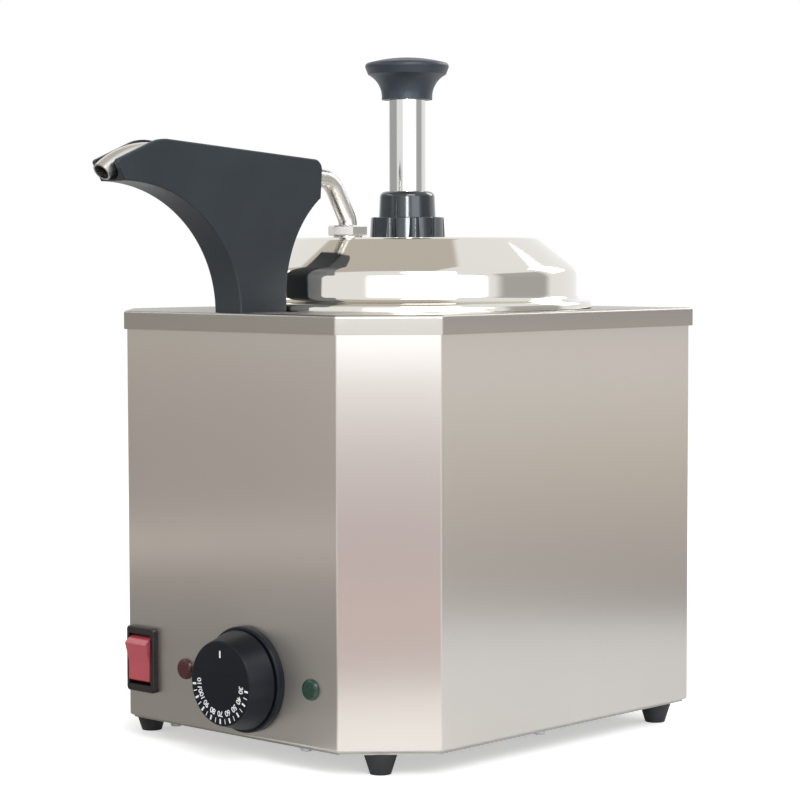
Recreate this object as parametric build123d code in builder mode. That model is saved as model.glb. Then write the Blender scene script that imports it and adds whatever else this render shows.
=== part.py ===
"""Countertop hot topping warmer with a heated spout and a hand pump, all sizes in millimetres.

The frame stands on the counter: +Z up, the front panel faces -Y, and the origin is the middle of
the whole machine's footprint, from the spout's mouth to the end of the cable gland.
"""

import math
import os

from build123d import *

os.makedirs("parts", exist_ok=True)

# ---------------------------------------------------------------- driving dimensions: housing
body_height = 200.0  # underside of the base plate to the top of the deck
side_room = 12.5  # between the well's rim and the housing's sides
back_room = 3.5  # between the well's rim and the housing's back
corner_leg = 33.5  # each leg of the two front corners' 45 degree faces
sheet = 1.0  # gauge of the folded stainless panels
bend_radius = 1.5  # outside radius of every fold
deck_overhang = 1.5
deck_skirt = 9.0
fold_step = 0.1  # the panels' level edges are this much tighter than their upright folds
flange_width = 9.0  # inward flanges of the wrapper, top and bottom
base_inset = 2.0

foot_height = 10.0
foot_top_radius = 8.0
foot_tip_radius = 4.9
foot_lip_height = 1.6
foot_lip_step = 0.4
front_foot_set_in = 26.0  # from the housing's side
front_foot_set_back = 20.5
rear_foot_side_set = 11.0
rear_foot_set_in = 13.0
base_screw_front_x = 45.0
base_screw_rear_x = 30.0
small_screw_radius = 1.5
small_head_radius = 2.75
small_head_height = 2.0
small_head_round = 0.6
small_nut_flats = 5.5
small_nut_height = 2.4
screw_clearance = 0.2  # between a screw's shank and the hole it passes
screw_slot = 0.6  # width of the cross in a screw's head
screw_tail = 1.0  # thread left showing past a nut or a sheet

vent_length = 34.0
vent_width = 4.0
vent_pitch = 9.0
vent_rows = 7

# ---------------------------------------------------------------- driving dimensions: well and pot
lid_set_back = 31.3  # front edge of the lid behind the front panel
pot_radius = 80.5
pot_depth = 142.0
pot_gauge = 1.0
pot_rim_width = 9.5
pot_corner = 14.0
rim_bend = 2.0  # where the walls of pot and well turn out into their rims
pot_bead_set = 2.3  # bead that centres the lid, outside the pot's wall
pot_bead_height = 1.6
well_gap = 5.0  # jacket between pot and well
well_floor_gap = 7.0
well_rim_width = 6.0
insulation_thickness = 4.0
insulation_height = 112.0

heater_radius = 60.0
heater_thickness = 8.0
element_radius = 44.0
element_wire_radius = 3.5
element_gap_angle = 54.0
element_bend = 7.0  # where the ring's ends turn down into its legs
element_leg = 14.0
stud_radius = 3.0
clamp_length = 108.0
clamp_width = 16.0
clamp_gauge = 2.0
clamp_nut_flats = 10.0
clamp_nut_height = 5.0
cutout_radius = 8.0
cutout_height = 7.0
cutout_offset = 22.0
bulb_radius = 3.0
bulb_length = 50.0
bulb_offset = -22.0
clip_gauge = 0.8
clip_width = 9.0
clip_ear = 5.0
capillary_radius = 0.9
capillary_drop = 9.0  # steps down this far to pass under the heating element

# ---------------------------------------------------------------- driving dimensions: controls
control_height = 28.5  # centre line of knob and lamps above the base plate
knob_x = 12.5
bezel_radius = 25.0
bezel_thickness = 4.0
bezel_bore = 8.0
knob_radius = 21.0
knob_base_radius = 22.0
knob_reach = 18.0  # dial face ahead of the front panel
knob_gap = 0.5
knob_wall = 2.0
knob_hub_radius = 6.0
shaft_radius = 3.0
shaft_flat = 2.2  # distance of the shaft's flat from its axis
shaft_fit = 0.05
shaft_buried = 12.0  # length of shaft held inside the thermostat
shaft_end_gap = 1.0
thermostat_width = 38.0
thermostat_height = 34.0
thermostat_depth = 26.0
thermostat_screw_pitch = 28.0
bushing_radius = 5.0
tab_width = 6.3
tab_gauge = 0.8
tab_length = 9.0

switch_fold_gap = 1.0  # between the switch's bezel and the front panel's left fold
switch_height = 30.0
switch_width = 20.0
switch_length = 32.0
switch_lip = 3.2  # bezel ahead of the front panel
switch_body_width = 17.6
switch_body_length = 28.0
switch_depth = 20.0
rocker_width = 15.0
rocker_radius = 12.1
rocker_gap = 0.3
rocker_tilt = 8.0  # the rocker rests this far either side of level
rocker_pivot_depth = 3.0
rocker_crown = 5.4
rocker_trough = 3.8
rocker_back_cut = 3.6  # flat back of the rocker behind its pins
rocker_pin_radius = 1.5
rocker_pin_length = 1.2

lamp_pitch = 42.65  # from the dial to the lamp on either side
lamp_radius = 5.1
lamp_dome = 2.3
lamp_round = 1.8
lamp_stem_radius = 3.8
lamp_stem_length = 9.0
lamp_holder_radius = 6.5
lamp_holder_depth = 15.0

gland_x = -62.0
gland_height = 34.0
gland_thread_radius = 6.0
gland_flange_flats = 17.0
gland_flange_depth = 4.5
gland_cap_radius = 7.8
gland_cap_length = 13.0
gland_bore_radius = 3.6  # takes a 7 mm mains cord
gland_nut_depth = 4.0
gland_cap_grooves = 10

terminal_length = 32.0
terminal_width = 18.0
terminal_height = 13.0
terminal_screw_radius = 2.2
terminal_wire_radius = 1.8
earth_stud_radius = 2.0
earth_stud_height = 14.0
earth_stud_set_in = 25.0  # from the housing's side
earth_nut_flats = 7.0
earth_nut_height = 3.2

# ---------------------------------------------------------------- driving dimensions: spout
shroud_width = 18.0
shroud_foot_front = 0.5  # shroud's foot behind the front panel
shroud_foot_back = 30.5
shroud_back_straight = 8.0
shroud_back_radius = 57.0
shroud_back_rise = 54.0  # top of the curved back above the deck
shroud_heel_lean = 1.4
shroud_heel_top = 72.3  # rear top corner above the deck
shroud_brow_set = -48.0  # crest of the top edge, measured from the front panel
shroud_brow_rise = 79.8
shroud_tip_set = -74.3
shroud_tip_rise = 69.2
shroud_chin_set = -68.6
shroud_chin_rise = 60.2
shroud_brow_round = 22.0
shroud_heel_round = 5.0
shroud_tip_round = 1.5
shroud_edge_round = 0.8
shroud_screw_grip = 6.5  # how far a screw's tapped hole reaches into the right half
channel_gap = 2.0  # between the discharge tube and its channel

post_width = 5.0
post_depth = 12.0
post_height = 38.0
post_set_back = 15.5
post_gap = 0.1
wire_hole_radius = 2.6
spout_heater_radius = 3.0
spout_heater_front = -20.0
spout_heater_length = 64.0
spout_heater_drop = 12.5  # below the discharge tube's axis
wire_duct_set = 26.0
shroud_screw_places = [(4.8, 14.0), (-33.0, 59.0), (36.0, 47.0)]  # set back, rise

tube_radius = 4.5
tube_wall = 0.8
tube_elbow_radius = 12.0
tube_lean = 16.0  # forward lean where the tube leaves the lid
tube_climb = 5.0  # upward slope of the long run
mouth_bend_radius = 45.0
mouth_angle = 38.0  # mouth points this far below level
mouth_set = -75.5  # centre of the mouth, from the front panel
mouth_rise = 64.0

# ---------------------------------------------------------------- driving dimensions: lid, pump
lid_overhang = 2.7  # past the pot's rim
lid_wall_gap = 1.2  # between the pot's bead and the lid's wall
lid_cone_run = 20.7
lid_height = 34.3
lid_shoulder_height = 17.5
lid_flat_width = 4.2  # flat flange that rests on the pot's rim
lid_sweep_height = 4.0
lid_gauge = 1.2
lid_rounds = [1.5, 3.5, 6.0, 5.0]

barrel_radius = 12.5
barrel_gauge = 1.0
barrel_flange_radius = 18.0
barrel_flange_gauge = 1.5
gasket_thickness = 1.0
collar_radius = 18.9
collar_height = 10.3
collar_flutes = 10
collar_flute_radius = 3.2
collar_top_radius = 18.3
collar_corner = 1.0
guide_cap_radius = 14.3
guide_cap_top_radius = 13.7
guide_cap_height = 13.0
guide_cap_roof = 3.5
guide_cap_round = 3.0
thread_fit = 0.05
rod_radius = 9.2
rod_wall = 1.2
rod_fit = 0.05
stroke_spare = 3.8  # left between the knob and the guide cap at full stroke
pump_knob_radius = 21.6
pump_knob_flare_radius = 19.6  # where the flare meets the knob's slanting side
pump_knob_height = 21.0
pump_knob_hub_radius = 12.7
pump_knob_side = 5.2
pump_knob_crown = 3.2
pump_knob_socket = 11.0
pump_knob_hub_height = 1.5
pump_knob_round = 1.8
pump_knob_flare_round = 0.6
pump_stroke = 42.0
piston_length = 15.0
piston_neck = 8.0
piston_drop = 96.0  # underside of the piston below the top of the guide cap
piston_fit = 0.1
seal_wire_radius = 1.0
seal_squeeze_gap = 0.05
spring_wire_radius = 0.75
spring_coils = 9
spring_radius = 8.6
valve_floor_gap = 4.0  # valve block above the pot's floor
valve_block_height = 14.0
valve_block_radius = 14.5
riser_boss_radius = 8.0
intake_radius = 4.5
intake_ball_radius = 6.0
intake_chamber_radius = 7.5
outlet_radius = 2.6
outlet_ball_radius = 3.6
spigot_height = 4.0
intake_seat_rise = 4.0
passage_rise = 10.5
riser_boss_height = 18.0
riser_socket = 7.0
cage_pin_radius = 0.8
cage_pin_drop = 1.2  # below the mouth of the bore that it crosses
barrel_top_gap = 0.6
rod_end_gap = 0.3
ball_gap = 0.1
union_reach = 43.0  # riser's axis ahead of the pump's axis
union_nut_flats = 17.0
union_nut_height = 5.5
union_thread_length = 3.3
union_boss_radius = 7.0
union_boss_rise = 2.9  # along the leaning tube, so that the nut's low corner clears the lid
union_boss_depth = 6.0
union_stem_radius = 6.0
union_stem_length = 10.0
union_locknut_depth = 4.0
lid_hole_gap = 0.1

# ---------------------------------------------------------------- places worked out from them
pot_rim_radius = pot_radius + pot_rim_width
pot_bead_radius = pot_radius + pot_bead_set
well_radius = pot_radius + well_gap + sheet
well_rim_radius = well_radius + well_rim_width
lid_flange_radius = pot_rim_radius + lid_overhang
lid_wall_radius = pot_bead_radius + lid_wall_gap + lid_gauge
lid_top_radius = lid_wall_radius - lid_cone_run
lid_flat_radius = lid_flange_radius - lid_flat_width  # inner edge of the flat flange
pump_set_back = lid_set_back + lid_flange_radius
body_width = 2 * (well_rim_radius + side_room)
body_depth = pump_set_back + well_rim_radius + back_room
mouth_reach = -mouth_set + tube_radius * math.sin(math.radians(mouth_angle))
gland_reach = gland_flange_depth + gland_cap_length
machine_depth = mouth_reach + body_depth + gland_reach

front_y = mouth_reach - machine_depth / 2
back_y = front_y + body_depth
middle_y = front_y + body_depth / 2
pump_y = front_y + pump_set_back
union_y = pump_y - union_reach
switch_x = corner_leg - body_width / 2 + switch_fold_gap + switch_width / 2
red_lamp_x = knob_x - lamp_pitch
green_lamp_x = knob_x + lamp_pitch

base_z = foot_height
deck_z = base_z + body_height
control_z = base_z + control_height
switch_z = base_z + switch_height
floor_z = base_z + sheet  # top of the base plate

pot_rim_z = deck_z + pot_gauge  # the lid sits on the pot's rim
pot_floor_z = pot_rim_z - pot_depth
well_bottom_z = pot_floor_z - well_floor_gap - sheet
heater_z = well_bottom_z - heater_thickness
element_z = heater_z
clamp_z = element_z - element_wire_radius - clamp_gauge
lid_top_z = pot_rim_z + lid_height
collar_top_z = lid_top_z + collar_height
cap_top_z = collar_top_z + guide_cap_height
knob_base_z = cap_top_z + pump_stroke + stroke_spare
rod_top_z = knob_base_z + pump_knob_socket
valve_z = pot_floor_z + pot_gauge + valve_floor_gap
barrel_z = valve_z + valve_block_height
spring_z = barrel_z + spigot_height
seat_z = lid_top_z - lid_gauge - gasket_thickness - barrel_flange_gauge
piston_z = cap_top_z - piston_drop

pump_axis = Axis((0, pump_y, 0), (0, 0, 1))
pump_plane = Plane(origin=(0, pump_y, 0), x_dir=(1, 0, 0), z_dir=(0, -1, 0))
panel_plane = Plane(origin=(0, front_y, 0), x_dir=(1, 0, 0), z_dir=(0, -1, 0))
back_plane = Plane(origin=(0, back_y, 0), x_dir=(-1, 0, 0), z_dir=(0, 1, 0))
side_plane = Plane(origin=(0, 0, 0), x_dir=(0, 1, 0), z_dir=(1, 0, 0))

front_foot_x = body_width / 2 - front_foot_set_in
rear_foot_x = body_width / 2 - rear_foot_side_set
foot_places = [
    (-front_foot_x, front_y + front_foot_set_back),
    (front_foot_x, front_y + front_foot_set_back),
    (-rear_foot_x, back_y - rear_foot_set_in),
    (rear_foot_x, back_y - rear_foot_set_in),
]
base_screw_places = [
    (-base_screw_front_x, front_y + base_inset + flange_width / 2),
    (base_screw_front_x, front_y + base_inset + flange_width / 2),
    (-(body_width / 2 - base_inset - flange_width / 2), middle_y),
    (body_width / 2 - base_inset - flange_width / 2, middle_y),
    (-base_screw_rear_x, back_y - base_inset - flange_width / 2),
    (base_screw_rear_x, back_y - base_inset - flange_width / 2),
]


# ---------------------------------------------------------------- shared outlines
def plan_outline(z, grow):
    """The housing's plan, a rectangle with two cut front corners, grown outwards by grow."""
    with BuildSketch(Plane.XY.offset(z)) as plan:
        with Locations((0, middle_y)):
            Rectangle(body_width, body_depth)
        front_corners = plan.vertices().group_by(Axis.Y)[0]
        chamfer(front_corners, length=corner_leg)
        if grow:
            offset(amount=grow, kind=Kind.INTERSECTION)
    return plan.sketch


def turned_profile(points, plane=pump_plane):
    """A closed outline of (radius, height) points on a plane through a turning axis."""
    with BuildSketch(plane) as outline:
        with BuildLine():
            Polyline(*points, close=True)
        make_face()
    return outline.sketch


def spun_profile(path, radii, gauge, side, plane=pump_plane):
    """The section of a spun sheet: a path with rounded corners, thickened to one side."""
    with BuildSketch(plane) as outline:
        with BuildLine():
            FilletPolyline(*path, radius=radii)
            offset(amount=gauge, side=side)
        make_face()
    return outline.sketch


def hexagon(plane, flats):
    """A hexagon, given across its flats."""
    with BuildSketch(plane) as outline:
        RegularPolygon(flats / 2, 6, major_radius=False)
    return outline.sketch


def disc(plane, radius, bore=0.0):
    """A disc or a ring on a plane."""
    with BuildSketch(plane) as outline:
        Circle(radius)
        if bore:
            Circle(bore, mode=Mode.SUBTRACT)
    return outline.sketch


def level(z, x=0.0, y=0.0):
    """A level plane at height z, centred x and y away from the pump's axis."""
    return Plane(origin=(x, pump_y + y, z))


def finish(builder, label):
    """Names a finished piece and writes its file."""
    builder.part.label = label
    export_step(builder.part, f"parts/{label}.step")


# ---------------------------------------------------------------- housing
with BuildPart() as housing_shell:
    wrap_bottom = base_z + sheet
    wrap_top = deck_z - sheet
    extrude(plan_outline(wrap_bottom, 0), amount=wrap_top - wrap_bottom)
    fillet(housing_shell.edges().filter_by(Axis.Z), radius=bend_radius)
    rims = housing_shell.faces().sort_by(Axis.Z)[0].edges()
    rims += housing_shell.faces().sort_by(Axis.Z)[-1].edges()
    fillet(rims, radius=bend_radius - fold_step)
    extrude(
        plan_outline(wrap_bottom + sheet, -sheet),
        amount=wrap_top - wrap_bottom - 2 * sheet,
        mode=Mode.SUBTRACT,
    )
    extrude(
        plan_outline(wrap_bottom, -flange_width),
        amount=wrap_top - wrap_bottom,
        mode=Mode.SUBTRACT,
    )
    with BuildSketch(panel_plane):
        with Locations((switch_x, switch_z)):
            Rectangle(switch_body_width + screw_clearance, switch_body_length + screw_clearance)
        with Locations((red_lamp_x, control_z), (green_lamp_x, control_z)):
            Circle(lamp_stem_radius + screw_clearance)
        with Locations((knob_x, control_z)):
            Circle(bushing_radius + screw_clearance)
            with GridLocations(thermostat_screw_pitch, 1, 2, 1):
                Circle(small_screw_radius + screw_clearance)
    extrude(amount=-2 * sheet, mode=Mode.SUBTRACT)
    with BuildSketch(back_plane):
        with Locations((-gland_x, base_z + gland_height)):
            Circle(gland_thread_radius + screw_clearance)
    extrude(amount=-2 * sheet, mode=Mode.SUBTRACT)
    with Locations(*[(x, y, wrap_bottom + sheet) for x, y in base_screw_places]):
        Hole(small_screw_radius, depth=2 * sheet)
    with Locations(*[(x, y, wrap_bottom + sheet) for x, y in foot_places]):
        Hole(small_nut_flats / 2 + sheet, depth=2 * sheet)
    extrude(
        disc(level(wrap_top - sheet), well_rim_radius + sheet / 2),
        amount=2 * sheet,
        mode=Mode.SUBTRACT,
    )
finish(housing_shell, "housing_shell")

with BuildPart() as base_plate:
    extrude(plan_outline(base_z, -base_inset), amount=sheet)
    with BuildSketch(Plane.XY.offset(base_z + sheet)):
        with Locations((0, middle_y + vent_pitch)):
            with GridLocations(vent_length + 2 * vent_pitch, vent_pitch, 2, vent_rows):
                SlotOverall(vent_length, vent_width)
    extrude(amount=-2 * sheet, mode=Mode.SUBTRACT)
    with Locations(*[(x, y, base_z + sheet) for x, y in base_screw_places + foot_places]):
        Hole(small_screw_radius + screw_clearance, depth=2 * sheet)
finish(base_plate, "base_plate")

with BuildPart() as deck_panel:
    extrude(plan_outline(deck_z - deck_skirt, deck_overhang), amount=deck_skirt)
    fillet(deck_panel.edges().filter_by(Axis.Z), radius=bend_radius)
    fillet(deck_panel.faces().sort_by(Axis.Z)[-1].edges(), radius=bend_radius - fold_step)
    extrude(
        plan_outline(deck_z - deck_skirt, deck_overhang - sheet),
        amount=deck_skirt - sheet,
        mode=Mode.SUBTRACT,
    )
    with BuildSketch(Plane.XY.offset(deck_z)):
        with Locations((0, pump_y)):
            Circle(pot_radius + well_gap / 2)
        with Locations((0, front_y + post_set_back)):
            with GridLocations(1, post_depth / 2, 1, 2):
                Circle(small_screw_radius + screw_clearance)
        with Locations((0, front_y + wire_duct_set)):
            Circle(wire_hole_radius)
    extrude(amount=-2 * sheet, mode=Mode.SUBTRACT)
finish(deck_panel, "deck_panel")

with BuildPart() as foot:
    foot_profile = turned_profile(
        [
            (small_screw_radius + screw_clearance, base_z),
            (foot_top_radius, base_z),
            (foot_top_radius - foot_lip_step, base_z - foot_lip_height),
            (foot_tip_radius, 0),
            (small_head_radius + screw_clearance, 0),
            (small_head_radius + screw_clearance, foot_height / 2),
            (small_screw_radius + screw_clearance, foot_height / 2),
        ],
        Plane.XZ,
    )
    revolve(foot_profile, axis=Axis.Z)

with BuildPart() as feet:
    with Locations(*foot_places):
        add(foot.part)
finish(feet, "feet")


def pan_screw(seat_z, reach):
    """A pan head screw standing on the Z axis, its head below seat_z and its shank above."""
    with BuildPart() as screw:
        with BuildSketch(Plane.XY.offset(seat_z)):
            Circle(small_head_radius)
        extrude(amount=-small_head_height)
        fillet(screw.faces().sort_by(Axis.Z)[0].edges(), radius=small_head_round)
        with BuildSketch(Plane.XY.offset(seat_z)):
            Circle(small_screw_radius)
        extrude(amount=reach)
        with BuildSketch(Plane.XY.offset(seat_z - small_head_height)):
            Rectangle(small_head_radius, screw_slot)
            Rectangle(screw_slot, small_head_radius)
        extrude(amount=small_head_height / 2, mode=Mode.SUBTRACT)
    return screw.part


with BuildPart() as foot_screws:
    with Locations(*foot_places):
        add(pan_screw(foot_height / 2, foot_height / 2 + sheet + small_nut_height + screw_tail))
finish(foot_screws, "foot_screws")

with BuildPart() as foot_nuts:
    with BuildSketch(Plane.XY.offset(floor_z)):
        with Locations(*foot_places):
            RegularPolygon(small_nut_flats / 2, 6, major_radius=False)
            Circle(small_screw_radius, mode=Mode.SUBTRACT)
    extrude(amount=small_nut_height)
finish(foot_nuts, "foot_nuts")

with BuildPart() as base_screws:
    with Locations(*base_screw_places):
        add(pan_screw(base_z, 2 * (sheet + screw_tail)))
finish(base_screws, "base_screws")

# ---------------------------------------------------------------- well, pot and heater
with BuildPart() as well_tank:
    well_rim_z = deck_z - 2 * sheet
    revolve(
        spun_profile(
            [
                (well_rim_radius, well_rim_z),
                (well_radius, well_rim_z),
                (well_radius, well_bottom_z),
                (0, well_bottom_z),
            ],
            [rim_bend, pot_corner],
            sheet,
            Side.RIGHT,
        ),
        axis=pump_axis,
    )
    extrude(
        disc(level(well_bottom_z), stud_radius),
        amount=-(well_bottom_z - clamp_z + clamp_nut_height + stud_radius),
    )
finish(well_tank, "well_tank")

with BuildPart() as food_pot:
    revolve(
        spun_profile(
            [
                (pot_rim_radius, deck_z),
                (pot_radius, deck_z),
                (pot_radius, pot_floor_z),
                (0, pot_floor_z),
            ],
            [rim_bend, pot_corner],
            pot_gauge,
            Side.RIGHT,
        ),
        axis=pump_axis,
    )
    revolve(
        turned_profile(
            [
                (pot_bead_radius - pot_gauge, pot_rim_z),
                (pot_bead_radius, pot_rim_z),
                (pot_bead_radius - pot_gauge / 3, pot_rim_z + pot_bead_height),
                (pot_bead_radius - pot_gauge, pot_rim_z + pot_bead_height),
            ]
        ),
        axis=pump_axis,
    )
finish(food_pot, "food_pot")

with BuildPart() as insulation_sleeve:
    extrude(
        disc(level(well_bottom_z + pot_corner), well_radius + insulation_thickness, well_radius),
        amount=insulation_height,
    )
finish(insulation_sleeve, "insulation_sleeve")

ring_start = math.radians(element_gap_angle / 2 - 90)
ring_sweep = 360 - element_gap_angle
with BuildPart() as heating_element:
    legs = []
    with BuildLine(level(element_z)) as element_path:
        CenterArc((0, 0), element_radius, math.degrees(ring_start), ring_sweep)
        for side in (1, -1):
            end = Vector(side * math.cos(ring_start), math.sin(ring_start)) * element_radius
            away = Vector(side * math.sin(ring_start), -math.cos(ring_start))
            leg = end + away * element_bend
            TangentArc(tuple(end), (leg.X, leg.Y, -element_bend), tangent=away)
            Line((leg.X, leg.Y, -element_bend), (leg.X, leg.Y, -element_leg))
            legs.append(leg)
    with BuildSketch(level(element_z - element_leg, legs[0].X, legs[0].Y)):
        Circle(element_wire_radius)
    sweep(path=element_path.wire())
    for leg in legs:
        pin_plane = level(element_z - element_leg, leg.X, leg.Y)
        extrude(disc(pin_plane, element_wire_radius / 2), amount=-element_leg / 2)
finish(heating_element, "heating_element")

bulb_z = heater_z - bulb_radius / 3
bulb_front = Plane(origin=(bulb_offset, pump_y - bulb_length / 2, bulb_z), z_dir=(0, 1, 0))
with BuildPart() as bulb:
    with BuildSketch(bulb_front):
        Circle(bulb_radius)
    extrude(amount=bulb_length)
    fillet(bulb.edges().filter_by(GeomType.CIRCLE), radius=bulb_radius / 2)

with BuildPart() as heater_plate:
    extrude(disc(level(well_bottom_z), heater_radius, stud_radius), amount=-heater_thickness)
    chamfer(heater_plate.faces().sort_by(Axis.Z)[0].edges().sort_by(SortBy.LENGTH)[-1], length=sheet)
    add(heating_element.part, mode=Mode.SUBTRACT)
    add(bulb.part, mode=Mode.SUBTRACT)
finish(heater_plate, "heater_plate")

with BuildPart() as heater_clamp:
    with BuildSketch(level(clamp_z)):
        SlotOverall(clamp_length, clamp_width, rotation=90)
        Circle(stud_radius, mode=Mode.SUBTRACT)
    extrude(amount=clamp_gauge)
finish(heater_clamp, "heater_clamp")

with BuildPart() as clamp_nut:
    with BuildSketch(level(clamp_z)):
        RegularPolygon(clamp_nut_flats / 2, 6, major_radius=False)
        Circle(stud_radius, mode=Mode.SUBTRACT)
    extrude(amount=-clamp_nut_height)
finish(clamp_nut, "clamp_nut")

with BuildPart() as thermal_cutout:
    cutout_plane = level(heater_z, cutout_offset)
    extrude(disc(cutout_plane, cutout_radius), amount=-cutout_height)
    fillet(
        thermal_cutout.faces().sort_by(Axis.Z)[0].edges(),
        radius=cutout_height / 4,
    )
    with BuildSketch(level(heater_z - cutout_height, cutout_offset)):
        with GridLocations(cutout_radius, 1, 2, 1):
            Rectangle(tab_gauge, tab_width)
    extrude(amount=-tab_length / 2)
finish(thermal_cutout, "thermal_cutout")

# ---------------------------------------------------------------- thermostat
thermostat_y = front_y + sheet
thermostat_plane = Plane(
    origin=(knob_x, thermostat_y, control_z), x_dir=(-1, 0, 0), z_dir=(0, 1, 0)
)
with BuildPart() as thermostat_body:
    with BuildSketch(thermostat_plane):
        RectangleRounded(thermostat_width, thermostat_height, bend_radius)
    extrude(amount=thermostat_depth)
    chamfer(thermostat_body.faces().sort_by(Axis.Y)[-1].edges(), length=sheet)
    with BuildSketch(thermostat_plane):
        Circle(bushing_radius)
    extrude(amount=-2 * sheet)
    with BuildSketch(thermostat_plane.offset(-2 * sheet)):
        Circle(shaft_radius + shaft_fit)
    extrude(amount=shaft_buried + 2 * sheet, mode=Mode.SUBTRACT)
    with BuildSketch(thermostat_plane):
        with GridLocations(thermostat_screw_pitch, 1, 2, 1):
            Circle(small_screw_radius)
    extrude(amount=thermostat_depth / 3, mode=Mode.SUBTRACT)
    with BuildSketch(thermostat_plane.offset(thermostat_depth)):
        with GridLocations(thermostat_width / 3, 1, 3, 1):
            Rectangle(tab_gauge, tab_width)
    extrude(amount=tab_length)
finish(thermostat_body, "thermostat_body")

capillary_z = bulb_z - capillary_drop
capillary_end = (bulb_offset, pump_y - bulb_length / 2, bulb_z)
with BuildPart() as sensor_bulb:
    add(bulb.part)
    with BuildLine() as capillary_path:
        FilletPolyline(
            (knob_x - thermostat_width / 2, thermostat_y + thermostat_depth / 2, control_z),
            (bulb_offset, thermostat_y + thermostat_depth / 2, control_z),
            (bulb_offset, thermostat_y + thermostat_depth, capillary_z),
            (bulb_offset, pump_y - bulb_length / 2 - capillary_drop, capillary_z),
            capillary_end,
            radius=capillary_drop / 3,
        )
    with BuildSketch(Plane(origin=capillary_path.line @ 0, z_dir=capillary_path.line % 0)):
        Circle(capillary_radius)
    sweep(path=capillary_path.line)
finish(sensor_bulb, "sensor_bulb")

with BuildPart() as bulb_clip:
    with BuildSketch(Plane(origin=(bulb_offset, pump_y, bulb_z), x_dir=(1, 0, 0), z_dir=(0, -1, 0))):
        Circle(bulb_radius + clip_gauge)
        with Locations((0, heater_z - bulb_z - clip_gauge / 2)):
            Rectangle(2 * (bulb_radius + clip_ear), clip_gauge)
        Circle(bulb_radius, mode=Mode.SUBTRACT)
        with Locations((0, heater_z - bulb_z + bulb_radius)):
            Rectangle(4 * bulb_radius, 2 * bulb_radius, mode=Mode.SUBTRACT)
    extrude(amount=clip_width / 2, both=True)
finish(bulb_clip, "bulb_clip")

with BuildPart() as knob_bezel:
    with BuildSketch(panel_plane):
        with Locations((knob_x, control_z)):
            Circle(bezel_radius)
    extrude(amount=bezel_thickness)
    bezel_front = knob_bezel.faces().sort_by(Axis.Y)[0]
    fillet(bezel_front.edges(), radius=bezel_thickness / 4)
    with BuildSketch(panel_plane):
        with Locations((knob_x, control_z)):
            Circle(bezel_bore)
    extrude(amount=bezel_thickness, mode=Mode.SUBTRACT)
    with BuildSketch(panel_plane):
        with Locations((knob_x, control_z)):
            with GridLocations(thermostat_screw_pitch, 1, 2, 1):
                Circle(small_screw_radius + screw_clearance)
    extrude(amount=bezel_thickness, mode=Mode.SUBTRACT)
    with BuildSketch(panel_plane.offset(bezel_thickness)):
        with Locations((knob_x, control_z)):
            with GridLocations(thermostat_screw_pitch, 1, 2, 1):
                Circle(small_head_radius + screw_clearance)
    extrude(amount=-small_head_height - screw_clearance, mode=Mode.SUBTRACT)
finish(knob_bezel, "knob_bezel")

with BuildPart() as thermostat_screws:
    screw_seat_y = front_y - bezel_thickness + small_head_height + screw_clearance
    for side in (-1, 1):
        x = knob_x + side * thermostat_screw_pitch / 2
        with Locations(Location((x, screw_seat_y, control_z), (-90, 0, 0))):
            add(pan_screw(0, thermostat_y + thermostat_depth / 4 - screw_seat_y))
finish(thermostat_screws, "thermostat_screws")

knob_face_y = front_y - knob_reach
knob_axis = Axis((knob_x, 0, control_z), (0, 1, 0))
knob_plane = Plane(origin=(knob_x, 0, control_z), x_dir=(1, 0, 0), z_dir=(0, 0, 1))
knob_back_y = front_y - bezel_thickness - knob_gap
with BuildPart() as thermostat_knob:
    with BuildSketch(knob_plane):
        with BuildLine():
            Polyline(
                (0, knob_face_y),
                (knob_radius, knob_face_y),
                (knob_base_radius, knob_back_y),
                (knob_base_radius - knob_wall, knob_back_y),
                (knob_radius - knob_wall, knob_face_y + knob_wall),
                (knob_hub_radius, knob_face_y + knob_wall),
                (knob_hub_radius, knob_back_y),
                (shaft_radius, knob_back_y),
                (shaft_radius, knob_face_y + 2 * knob_wall),
                (0, knob_face_y + 2 * knob_wall),
                close=True,
            )
        make_face()
    revolve(axis=knob_axis)
    rim_edge = thermostat_knob.faces().sort_by(Axis.Y)[0].edges()
    fillet(rim_edge, radius=knob_wall / 2)
finish(thermostat_knob, "thermostat_knob")

with BuildPart() as thermostat_shaft:
    shaft_tip_y = thermostat_y + shaft_buried - shaft_end_gap
    with BuildSketch(Plane(origin=(knob_x, shaft_tip_y, control_z), x_dir=(1, 0, 0), z_dir=(0, -1, 0))):
        Circle(shaft_radius)
    extrude(amount=shaft_tip_y - knob_face_y - 2 * knob_wall)
    with BuildSketch(Plane(origin=(knob_x, knob_back_y, control_z), x_dir=(1, 0, 0), z_dir=(0, -1, 0))):
        with Locations((0, shaft_flat + shaft_radius)):
            Rectangle(2 * shaft_radius, 2 * shaft_radius)
    extrude(amount=knob_reach, mode=Mode.SUBTRACT)
finish(thermostat_shaft, "thermostat_shaft")

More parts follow.
